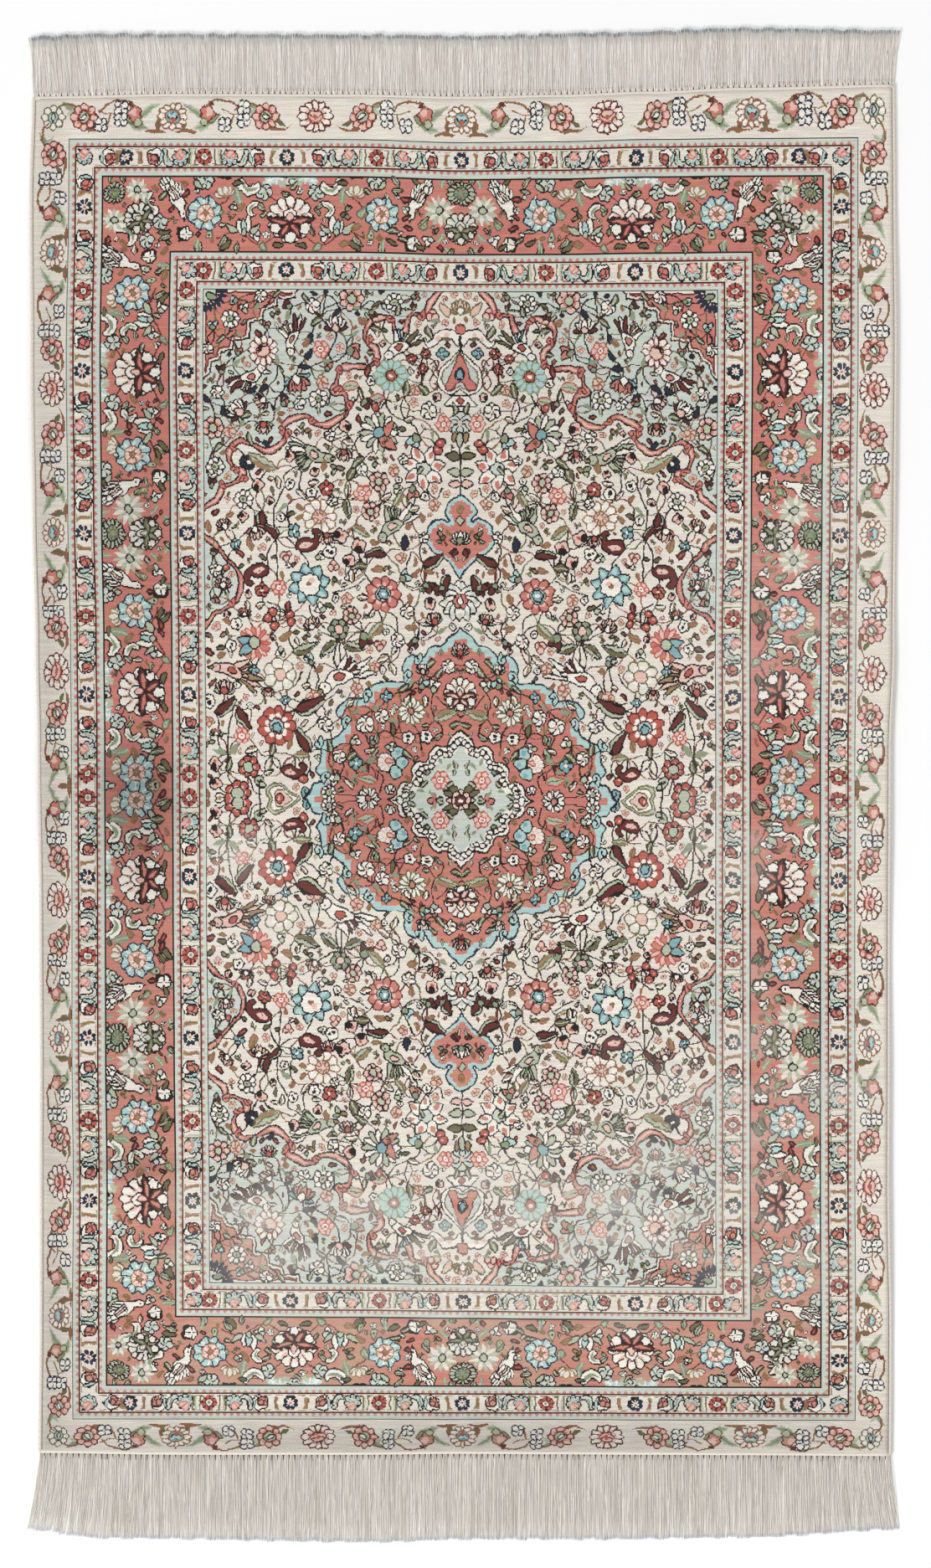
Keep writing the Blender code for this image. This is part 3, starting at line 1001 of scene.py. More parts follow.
# %% [markdown]
# ## The two ivory borders
#
# Both narrow borders repeat one rhythm: a navy star, a gold bar, a tulip, a hooked leaf, a blue
# fan, a double bar and a brick red rosette, then the same in mirror. The stations below count
# the knots to each star and rosette, and what lies between is spaced in fixed shares of the way.

# %% Narrow borders
EIGHT_TURNS = [22.5 + 45 * k for k in range(8)]
STAR = [
    (disc(9.4, 8, 0.2, turn=22.5), CREAM, None),
    *[
        (leaf(7.4, 4.9, 0, turned((2.2, 0), a), a, bulge=1.4), DARK if a > 270 else NAVY, None)
        for a in EIGHT_TURNS
    ],
    (disc(3.0, 4, 0.3), PINK, None),
    (disc(1.0), BROWN, None),
]
ROSE = [
    (disc(9.4, 8, 0.3), DARK, None),
    *[(disc(2.2, at=turned((6.9, 0), a)), BRICK, None) for a in EIGHT_TURNS],
    (disc(4.8), BRICK, None),
    (disc(3.2), CREAM, MAROON),
    (disc(1.8), GREEN, None),
]
GOLD_BAR = [
    (
        curve([(-4.4, 7.4), (1.2, 7.4), (1.8, 0), (2.4, -6.8), (-1.6, -6.8), (-1.4, 1), (-4.4, 7.4)], 3),
        GOLD, None,
    ),
    (curve([(0, 5), (0.8, 0), (1, -5)]), None, BROWN),
]
TULIP = [
    (disc(8.4, 5, 0.12), CREAM, DARK),
    (leaf(12, 3, 0.3, (5, -6), 66), PALE_BLUE, DARK),
    *[(disc(2.6, at=at), TERRACOTTA, MAROON) for at in ((-4.8, 0.6), (-2.2, -4), (-1, 0))],
    (curve([(-7, 4), (-1, 4.4), (2.8, 0), (2, -7)]), None, DARK),
]
HOOK_LEAF = [
    (
        curve([
            (-6, 7), (-2, 7), (-1, 0), (3, -6), (7, -5), (4, -9), (-2, -8), (-5, -1), (-4, 4), (-6, 7),
        ], 3),
        MINT, DARK,
    ),
    (np.array([(-3, 2), (-1, -5)]), None, GREEN),
]
BLUE_FAN = [
    (disc(8.4, 7, 0.24, at=(0.6, -1.2), turn=13), MINT, DARK),
    *ray_lines(DARK, 5, 8, 7, 13, (0.6, -1.2)),
    *ray_lines(BLUE, 4, 6.6, 7, 39, (0.6, -1.2)),
    (disc(4.4, 5, 0.2, at=(-0.6, 3.2)), PINK, TERRACOTTA),
    (np.array([(-4, 6), (2, -1)]), None, TERRACOTTA),
    (disc(1.6, at=(-5, 6.4)), DARK, None),
]
DOUBLE_BAR = [
    (curve([(x + 3, 8.6), (x, 8), (x + 0.6, 0), (x, -8), (x + side, -8)]), None, silk)
    for x, side, silk in ((-4, -3, OLIVE), (-2, 0, PALE_GREEN), (2.4, 3, OLIVE))
]
BETWEEN_STAR_AND_ROSE = [
    (0.18, GOLD_BAR), (0.375, TULIP), (0.535, HOOK_LEAF), (0.69, BLUE_FAN), (0.845, DOUBLE_BAR),
]


# %% Laying out the narrow borders
def narrow_border(side, across, stations):
    """stations are knots along the border and what stands there, a star and a rose by turns."""
    for (first, kind), (second, _) in zip(stations, stations[1:]):
        forward = kind == "star"
        start, end = (first, second) if forward else (second, first)
        for share, motif in BETWEEN_STAR_AND_ROSE:
            place(border, motif, start + (end - start) * share, across, mirror=not forward, side=side)
    for at, kind in stations:
        place(border, STAR if kind == "star" else ROSE, at, across, side=side)


TOP_STATIONS = [(119, "star"), (218, "rose"), (325, "star"), (442, "rose"), (552, "star")]
LEFT_STATIONS = [
    (125, "star"), (220, "rose"), (311, "star"), (401, "rose"), (495, "star"), (588, "rose"), (677, "star"),
    (767, "rose"),
]
# broken gold lines along the ivory borders: ten knots of gold, five left out
for line_in in (58, 77, 187, 207):
    border[(inset == line_in) & (along_edge // 5 % 3 > 0)] = GOLD
place(border, BLUE_FAN, 67, 67)
narrow_border("top", 68, TOP_STATIONS)
narrow_border("left", 67.5, LEFT_STATIONS)
narrow_border("top", 197, TOP_STATIONS[1:])
narrow_border("left", 197, LEFT_STATIONS[1:])
for side in ("top", "left"):
    place(border, TULIP, 97, 68, mirror=True, side=side)
    place(border, GOLD_BAR, 109, 68, mirror=True, side=side)
place(border, BLUE_FAN, 198, 197, turn=45)

# %% [markdown]
# ## The outer border
#
# The outermost border is ivory with an open vine. Large rosettes alternate with small red ones,
# and between them run green scrolls with red buds and sprays of three outlined flowers.

# %% Outer border
PINK_ROSE = rosette(15, 12, CREAM, BLUE, shade=PINK, edge=BROWN, hub=0.46, squash=0.88) + [
    (disc(5.6, 6, 0.2, squash=0.9), NAVY, None),
    (disc(2.4, at=(-2.4, 1.8)), PALE_BLUE, None),
    (disc(2.4, at=(2.4, 1.8)), PALE_BLUE, None),
    (disc(3.4, at=(0, -3), squash=0.7), BRICK, None),
]
BIG_ROSE = rosette(18.5, 12, CREAM, PINK, shade=PINK, edge=MAROON, hub=0.4, squash=0.84) + [
    (curve([(-9, 0), (-5, -4), (0, -5), (5, -4), (9, 0)]), None, BRICK),
    (curve([(-7, 3), (-3, 0), (3, 0), (7, 3)]), None, MAROON),
    (disc(3, 6, 0.3), BRICK, None),
]
RED_ROSE = rosette(13.4, 8, PINK, PALE_GREEN, shade=TERRACOTTA, edge=MAROON, hub=0.42) + [
    *[(disc(1.4, at=turned((10.4, 0), a)), BRICK, None) for a in EIGHT_TURNS],
    (leaf(8, 3.2, 0, (-4, -2), 30), CREAM, DARK),
    (leaf(7, 2, 0, (-2, 2), 30), OLIVE, None),
]
HEART_ROSE = rosette(13, 8, CREAM, PALE_BLUE, shade=CREAM, edge=OLIVE, hub=0.4) + [
    (leaf(7, 4, 0, (0, -3), 90), MINT, DARK),
]
SPRAY = triple(CREAM, MINT, NAVY, BROWN)


def twice(points, silk):
    """A stem two knots high."""
    return [(curve(points) + (0, high), None, silk) for high in (0, 0.9)]


SCROLL = [
    (leaf(26, 9, 0.45, (2, -5), 118, teeth=4), PALE_GREEN, None),
    (leaf(25, 10, 0.3, (-8, -11), 8, teeth=4), PALE_GREEN, None),
    (leaf(20, 4, 0.3, (-6, -11), 8), GREEN, None),
    (leaf(21, 4, 0.45, (1, -4), 118), GREEN, None),
    (leaf(12, 6, 0.1, (4, -4), 20), GREEN, OLIVE),
    (disc(6.6, 5, 0.3, at=(5, 3)), TERRACOTTA, MAROON),
    (disc(4.0, 3, 0.3, at=(6.4, 4.4)), PINK, None),
    (disc(3.2, at=(2, -5)), PALE_GREEN, OLIVE),
    (disc(1.0, at=(2, -9)), DARK, None),
    (curve([(-26, -14), (-14, -15), (-4, -14), (-12, -11), (-20, -12), (-26, -14)], 3), BROWN, None),
    (leaf(17, 6.5, 0.12, (-17, -13), 88), BROWN, None),
    (leaf(14, 4, 0.12, (-17.5, -12), 88), OLIVE, None),
    *twice([(4, 9), (10, 13), (20, 14), (30, 11), (37, 4)], BROWN),
    (leaf(7, 4, 0, (12, 10), 150), MAROON, None),
]
ROSE_STEMS = [
    (curve([(-30, -8), (-18, -15), (-6, -15), (6, -12), (-4, -11), (-18, -12), (-30, -8)], 4), BROWN, None),
    (leaf(14, 5.6, 0.3, (-22, -9), 20), OLIVE, None),
    (leaf(17, 6, 0.3, (8, 9), 10), GREEN, None),
    (leaf(14, 5, -0.3, (9, 8), -20), PALE_GREEN, None),
    *twice([(8, 9), (16, 13), (26, 12), (34, 6)], BROWN),
]


# %% Laying out the outer border
# the knots from the edge to the middle of the outer border, and the size of its open motifs
OUTER_MIDDLE = {"top": 23, "left": 26}
OPEN_SIZE = 1.16
# for each side: knots along, motif, mirrored
SCROLLS_AND_ROSES = {
    "top": [
        (66, ROSE_STEMS, True), (297, ROSE_STEMS, True), (423, ROSE_STEMS, False),
        (136, SCROLL, True), (214, SCROLL, False), (511, SCROLL, True),
        (100, SPRAY, False), (256, SPRAY, False), (467, SPRAY, True),
        (177, PINK_ROSE, False), (362, BIG_ROSE, False), (552, PINK_ROSE, False),
        (66, RED_ROSE, False), (297, RED_ROSE, True), (423, RED_ROSE, False), (25, HEART_ROSE, False),
    ],
    "left": [
        (65, ROSE_STEMS, True), (288, ROSE_STEMS, True), (383, ROSE_STEMS, False), (602, ROSE_STEMS, True),
        (698, ROSE_STEMS, False), (139, SCROLL, True), (217, SCROLL, False), (451, SCROLL, True),
        (538, SCROLL, False), (760, SCROLL, True), (104, SPRAY, True), (255, SPRAY, False),
        (419, SPRAY, True), (572, SPRAY, False), (732, SPRAY, True), (177, PINK_ROSE, False),
        (332, BIG_ROSE, False), (494, PINK_ROSE, False), (651, BIG_ROSE, False), (65, RED_ROSE, False),
        (288, RED_ROSE, False), (383, RED_ROSE, True), (602, RED_ROSE, False), (698, RED_ROSE, True),
    ],
}
for side, items in SCROLLS_AND_ROSES.items():
    for at, motif, flipped in items:
        size = OPEN_SIZE if motif is SCROLL or motif is SPRAY else 1.0
        place(border, motif, at, OUTER_MIDDLE[side], mirror=flipped, side=side, size=size)

# %% [markdown]
# ## Grounds of the field
#
# The field has mint corner pieces behind a red scroll, a red triangle in each corner, a long
# medallion with a lobed edge and a pendant above it. Each is laid in as one ground before the
# flowers are drawn over it. The numbers are the knots of the corners of each outline, column
# and row, from the upper left of the rug.

# %% Outlines of the grounds
MIDDLE = (HALF_COLUMNS, FIELD_MIDDLE_ROW)
CORNER_TRIANGLE = [
    (345, 217), (338, 223), (338, 229), (316, 230), (315, 238), (298, 243), (297, 255), (280, 257),
    (279, 275), (259, 277), (258, 288), (243, 290), (240, 299), (230, 302), (229, 313), (217, 323),
    (217, 217),
]
CORNER_SCROLL = [
    (526, 218), (512, 232), (505, 244), (487, 247), (480, 264), (469, 265), (464, 254), (453, 250),
    (437, 254), (429, 264), (431, 277), (442, 285), (443, 297), (434, 305), (418, 305), (401, 307),
    (394, 313), (391, 326), (388, 333), (401, 337), (405, 351), (398, 363), (379, 372), (362, 369),
    (353, 361), (335, 365), (322, 373), (325, 383), (318, 394), (301, 402), (282, 394), (265, 390),
    (254, 398), (251, 409), (257, 420), (269, 425), (266, 432), (256, 438), (243, 443), (237, 453),
    (218, 467),
]
SIDE_LOBE = [
    (218, 497), (230, 505), (243, 519), (260, 536), (266, 553),
    (258, 571), (243, 580), (230, 586), (218, 600),
]
MEDALLION = [
    (552, 596), (545, 603), (536, 609), (530, 617), (516, 619), (508, 626), (502, 632), (488, 629),
    (479, 636), (475, 646), (478, 659), (461, 660), (443, 662), (430, 669), (426, 680), (407, 679),
    (394, 687), (389, 697), (398, 708), (394, 719), (382, 726), (371, 729), (368, 740), (366, 753),
    (361, 762), (370, 772), (359, 777), (354, 786), (347, 794),
]
HEART = [
    (552, 713), (544, 719), (536, 726), (532, 733), (519, 731), (510, 739), (507, 749), (494, 751),
    (487, 759), (488, 770), (473, 774), (467, 782), (466, 788), (454, 794),
]
PENDANT = [
    (552, 447), (543, 451), (534, 459), (530, 469), (537, 478), (527, 474), (514, 480), (507, 492),
    (508, 505), (517, 514), (528, 520), (541, 530), (549, 540), (552, 545),
]


def area(outline, *corners, steps=4):
    """Squares inside a smooth outline that is closed by way of extra corners, found on empty paper."""
    paper = np.zeros(field.shape, np.uint8)
    fill(paper, np.concatenate([curve(outline, steps), np.array(corners, float).reshape(-1, 2)]), 1)
    return paper == 1


def shrunk(squares, knots):
    """Squares at least some knots inside an area, on the diagonals too. The paper's own edges don't count."""
    for step in range(knots):
        wide = np.pad(squares, 1, mode="edge")
        squares = squares & wide[:-2, 1:-1] & wide[2:, 1:-1] & wide[1:-1, :-2] & wide[1:-1, 2:]
        if step % 2:
            squares = squares & wide[:-2, :-2] & wide[2:, 2:] & wide[:-2, 2:] & wide[2:, :-2]
    return squares


def stepped(squares, wide, tall):
    """The area in blocks of knots, which gives its edge the weaver's steps."""
    rows, columns = np.indices(squares.shape)
    return squares[rows // tall * tall, columns // wide * wide] & squares


def ribbon(outline, width, colour, edge, swell=0.0, light=PINK):
    """A band along a smooth line, stamped wide in the edge colour, then in its own, then narrow and light.

    Its width is width × (1 + swell × sin(its step / 5.5)), so that it swells and thins like a leafy scroll.
    """
    middle = curve(outline, 10)
    for margin, silk in ((1.7, edge), (0, colour), (-1.5, light)):
        for step, (x, y) in enumerate(middle):
            reach = max(width * (1 + swell * math.sin(step / 5.5)) / 2 + margin, 0)
            fill(field, disc(1.0) * (reach / KNOT_WIDE, reach / KNOT_TALL) + (x, y), silk)


# %% Laying in the grounds
medallion = area(MEDALLION, (552, 800), (560, 800), (560, 596))
heart = area(HEART, (560, 800), (560, 713))
pendant = area(PENDANT, (560, 545), (560, 447))
field[area(CORNER_SCROLL, (218, 218))] = MINT
field[area(SIDE_LOBE)] = MINT
ribbon(CORNER_SCROLL, 4.0, TERRACOTTA, DARK, swell=0.5)
ribbon(SIDE_LOBE, 3.2, TERRACOTTA, DARK, swell=0.4)
triangle = area(CORNER_TRIANGLE, steps=1)
for depth, silk in ((0, DARK), (2, IVORY), (4, MAROON), (6, TERRACOTTA)):
    field[shrunk(triangle, depth)] = silk
for squares, band, wide in ((medallion, 7, 8), (pendant, 5, 4)):
    field[squares] = NAVY
    field[shrunk(squares, 2)] = PALE_BLUE
    field[stepped(shrunk(squares, band), wide, 2)] = TERRACOTTA
field[heart] = DARK
field[shrunk(heart, 2)] = CREAM
field[shrunk(heart, 13)] = MINT

# %% [markdown]
# ## The flowers of the field
#
# Nothing in the field repeats within a quarter, so its flowers are a list: where each one stands,
# what it is, how far it is turned and how large it is. The kinds are few, and their colours and
# sizes make the variety, as in most workshop cartoons.

# %% Kinds of flowers, leaves and birds
def lily(r, petal, tip, heart, petals=9):
    """An open flower of pointed petals with coloured tips."""
    made = []
    for k in range(petals):
        angle = 360 * k / petals
        made.append((leaf(r, r * 0.5, 0.08, turn=angle, bulge=1.1), petal, DARK))
        made.append((leaf(r * 0.45, r * 0.24, 0, turned((r * 0.5, 0), angle), angle), tip, None))
    return made + [(disc(r * 0.3, 5, 0.2), heart, DARK)]


def half_lily(r, petal, back, heart, edge=DARK):
    """A flower seen from the side, pointing up: spread petals behind, upright ones in front."""
    angles = (-10, 190, 18, 162)
    made = [(leaf(r * 0.9, r * 0.4, 0.15 if a < 90 else -0.15, (0, 0), a), back, edge) for a in angles]
    made += [(leaf(r, r * 0.42, 0, (0, -r * 0.1), a), petal, edge) for a in (42, 138, 66, 114, 90)]
    return made + [(leaf(r * 0.6, r * 0.5, 0, (0, -r * 0.3), 90), heart, edge)]


def curl(size, colour):
    """A hooked scroll end."""
    hook = [(0, 0), (2, 4), (6, 5), (8, 2), (6, -1), (4, 1), (5.5, 2.5), (4, 3.4), (2.6, 1), (3, -2), (0, -4)]
    return [(curve(np.array(hook) * size, 3), colour, DARK)]


PARROT_BODY = curve([
    (-16, -8), (-14, -3), (-8, 3), (0, 4), (8, 1), (9, -3), (2, -6), (-6, -7), (-11, -10), (-16, -8),
], 3)
PAISLEY_BODY = curve([
    (0, 0), (3, 5), (10, 6), (16, 4), (18, 8), (15, 10), (18, 12), (22, 8), (20, 1), (14, -4), (5, -4),
    (0, 0),
], 4)
PAISLEY_MIDDLE = curve([(3, 0), (7, 3), (14, 1), (10, -2), (5, -2), (3, 0)], 3)
PAISLEY_LONG = 22


def parrot(body, breast, wing, tail, lift=24):
    """A perched bird, 40 mm long, head to the left and down, with a long tail.

    Its wing feathers rise from lift degrees, 13 degrees apart.
    """
    made = []
    for k in range(3):
        feather = leaf(24, 4.2, 0.1 * k, (5, -1 + k), lift / 3 - 4 + 9 * k)
        made.append((feather, body if k == 1 else tail, DARK))
    for k in range(5):
        made.append((leaf(19, 4.4, 0.12, (-4, 1), lift + 13 * k), wing if k % 2 else body, DARK))
    made.append((PARROT_BODY, body, DARK))
    made += [(leaf(9, 5, 0, (-6, -1), 0), breast, DARK), (disc(4.0, at=(-15, -8)), body, DARK)]
    return made + [(leaf(5, 2.4, 0, (-18, -9), 220), GOLD, DARK), (disc(0.8, at=(-15.4, -7)), DARK, None)]


def paisley(length, colour, inner):
    """A hooked drop with a paler middle and a seed."""
    scale = length / PAISLEY_LONG
    return [
        (PAISLEY_BODY * scale, colour, DARK),
        (PAISLEY_MIDDLE * scale, inner, None),
        (disc(0.8, at=(8 * scale, 0.6 * scale)), DARK, None),
    ]


# %% The flowers' colours
SERRATE = [
    (leaf(22, 10, 0.25, teeth=5), PALE_GREEN, DARK),
    (leaf(21, 4.6, 0.2, (0, -1.8)), OLIVE, None),
    (rib(22, 0.25), None, DARK),
]
SERRATE_PALE = [
    (leaf(22, 9, -0.25, teeth=5), PALE_GREEN, OLIVE),
    (leaf(20, 4.4, -0.2, (1, 1.8)), GOLD, None),
    (rib(22, -0.25), None, OLIVE),
]
SPLIT_LEAF = [(leaf(22, 10, 0.25), PALE_GREEN, DARK), (leaf(22, 5.8, 0.42, (0, 0.5)), MAROON, DARK)]
OLIVE_LEAF = leaflet(13, 5.5, OLIVE, 0.3, vein=PALE_GREEN)
GREEN_LEAF = leaflet(11, 4.8, GREEN, 0.25, edge=None)
NAVY_LEAF = [(leaf(10, 4.4, 0.3), NAVY, DARK)]
OUTLINE_LEAF = [(leaf(12, 5, 0.2), CREAM, DARK), (leaf(10, 2.4, 0.15, (0.5, -0.8)), GOLD, None)]
BEAN = leaflet(15, 7, PALE_GREEN, 0.35, edge=BRICK, vein=OLIVE)
WHITE_ROUND = blossom(7.2, 6, CREAM, PINK)
WHITE_SMALL = blossom(5.4, 5, CREAM, MINT)
PINK_ROUND = rosette(8.6, 6, PINK, CREAM, hub=0.36, edge=BRICK, core=BRICK)
RED_ROUND = rosette(9.0, 7, PINK, PALE_GREEN, shade=TERRACOTTA, hub=0.34)
CREAM_ROUND = rosette(9.4, 8, CREAM, PALE_GREEN, hub=0.34, core=OLIVE)
RED_SMALL = blossom(5.6, 5, BRICK, CREAM)
PINK_SMALL = blossom(5.6, 5, PINK, BRICK, edge=BROWN)
BLUE_SMALL = blossom(5.4, 4, BLUE, CREAM)
DARK_SMALL = [
    (disc(5.4, 4, 0.25), PINK, DARK),
    (disc(3.4, at=(-2.6, 1.8)), DARK, None),
    (disc(1.5, at=(1.5, 0)), BRICK, None),
]
EYED = [(disc(6.4, 5, 0.2), CREAM, DARK)]
EYED += [(disc(2.3, at=(0, 1.8)), DARK, None), (disc(1.6, at=(0, -2.4)), DARK, None)]
CHERRY = [(disc(3.6), BRICK, DARK), (disc(1.2, at=(-0.8, 0.8)), PINK, None)]
RED_BUD = bud(11, TERRACOTTA, GREEN)
CREAM_BUD = bud(11, CREAM, PALE_GREEN)
BLUE_BUD = bud(11, PALE_BLUE, GREEN)
MAROON_BUD = bud(10, MAROON, GREEN)
TULIP_UP = half_lily(9, PINK, PALE_GREEN, BRICK)
DARK_CUP = half_lily(14, CREAM, MAROON, PINK)
PINK_CUP = half_lily(13, PINK, TERRACOTTA, CREAM)
BLUE_CUP = half_lily(15, TERRACOTTA, BLUE, CREAM)
CREAM_CUP = half_lily(16, CREAM, PALE_GREEN, PINK)
IVORY_ROSE = rosette(17.5, 10, CREAM, PINK, shade=IVORY, edge=BROWN, hub=0.36) + ray_lines(BROWN, 3, 9, 10)
BIG_RED_ROSE = rosette(20.5, 9, BRICK, PALE_BLUE, shade=CREAM, edge=MAROON, hub=0.34) + [
    (disc(4.6, 5, 0.3, at=(0, -1.5)), BLUE, DARK),
]
RED_BLUE_ROSE = rosette(18.5, 9, TERRACOTTA, PALE_BLUE, shade=PINK, edge=MAROON, hub=0.4) + [
    (disc(5.4, 6, 0.2), BLUE, DARK),
    (disc(2.4), CREAM, None),
]
SKY_ROSE = rosette(17, 12, PALE_BLUE, PINK, edge=GREEN, hub=0.4) + [
    (disc(5.4, 5, 0.2), BRICK, DARK),
    (disc(2.2), CREAM, None),
]
BLUE_LILY = lily(23, BLUE, PALE_BLUE, CREAM, 8) + [
    (disc(11.5, 9, 0.14), CREAM, DARK),
    (leaf(9, 5, 0, (-4, -1), 20), BROWN, None),
    (disc(3, at=(3, 3)), PINK, None),
]
SPIKY_RED = daisy(18, 15, TERRACOTTA, PINK, PALE_GREEN, edge=BRICK) + [
    *[(leaf(19, 9, 0.2, (-1, -2), a), BLUE, DARK) for a in (150, 205)],
    (disc(5.5), PALE_GREEN, DARK),
]
SPIKY_WHITE = daisy(20, 14, CREAM, PALE_GREEN, CREAM, edge=DARK) + [
    *[(leaf(18, 9, 0.3, (2, -3), a), TERRACOTTA, DARK) for a in (35, -55)],
    (disc(5, 5, 0.2), BLUE, DARK),
]
WHITE_LILY = lily(20, CREAM, TERRACOTTA, MINT, 7)
C_ROSE = rosette(16, 12, CREAM, PINK, shade=PINK, edge=MAROON, hub=0.42) + [
    (curve([(6, 5), (-5, 6), (-6, -3), (-3, 0), (-2, 3), (6, 5)], 3), DARK, None),
]
GREEN_PARROT = parrot(PALE_GREEN, PINK, GREEN, CREAM)
RED_PARROT = parrot(CREAM, BRICK, BLUE, OLIVE)
PALE_BIRD = parrot(CREAM, TERRACOTTA, GOLD, MAROON)
MAROON_BIRD = parrot(CREAM, BRICK, MAROON, CREAM, lift=-8)
LOBED_BLUE = [
    (disc(9.5, 9, 0.16, at=(-4, 0)), CREAM, DARK),
    *ray_lines(PINK, 4, 9, 9, 0, (-4, 0)),
    *[(disc(6.6, 3, 0.14, at=at), PALE_BLUE, DARK) for at in ((8, 10.5), (13, -0.5), (6, -11))],
    *[(disc(2.8, at=at), BLUE, None) for at in ((9, 12), (15, -1), (7, -13))],
    (leaf(8, 4, 0, (-4, 0), 10), PINK, BRICK),
]
BEIGE_BIRD = parrot(PINK, BRICK, GOLD, GOLD, lift=0)
NAVY_FAN = [
    (disc(17), PINK, None),
    *[(leaf(13, 4, 0, turned((7, 0), a), a, bulge=1.5), NAVY, None) for a in range(-88, 3, 15)],
    (disc(9), MINT, DARK),
    (leaf(10, 5, 0.2, (1, -2), -30), GREEN, DARK),
]
RED_PAISLEY = paisley(27, MAROON, PINK)
TRIO = [(disc(2.6, at=turned((2.6, 0), a)), PINK, MAROON) for a in (90, 210, 330)]
TRIO += [(disc(1.0), BRICK, None)]

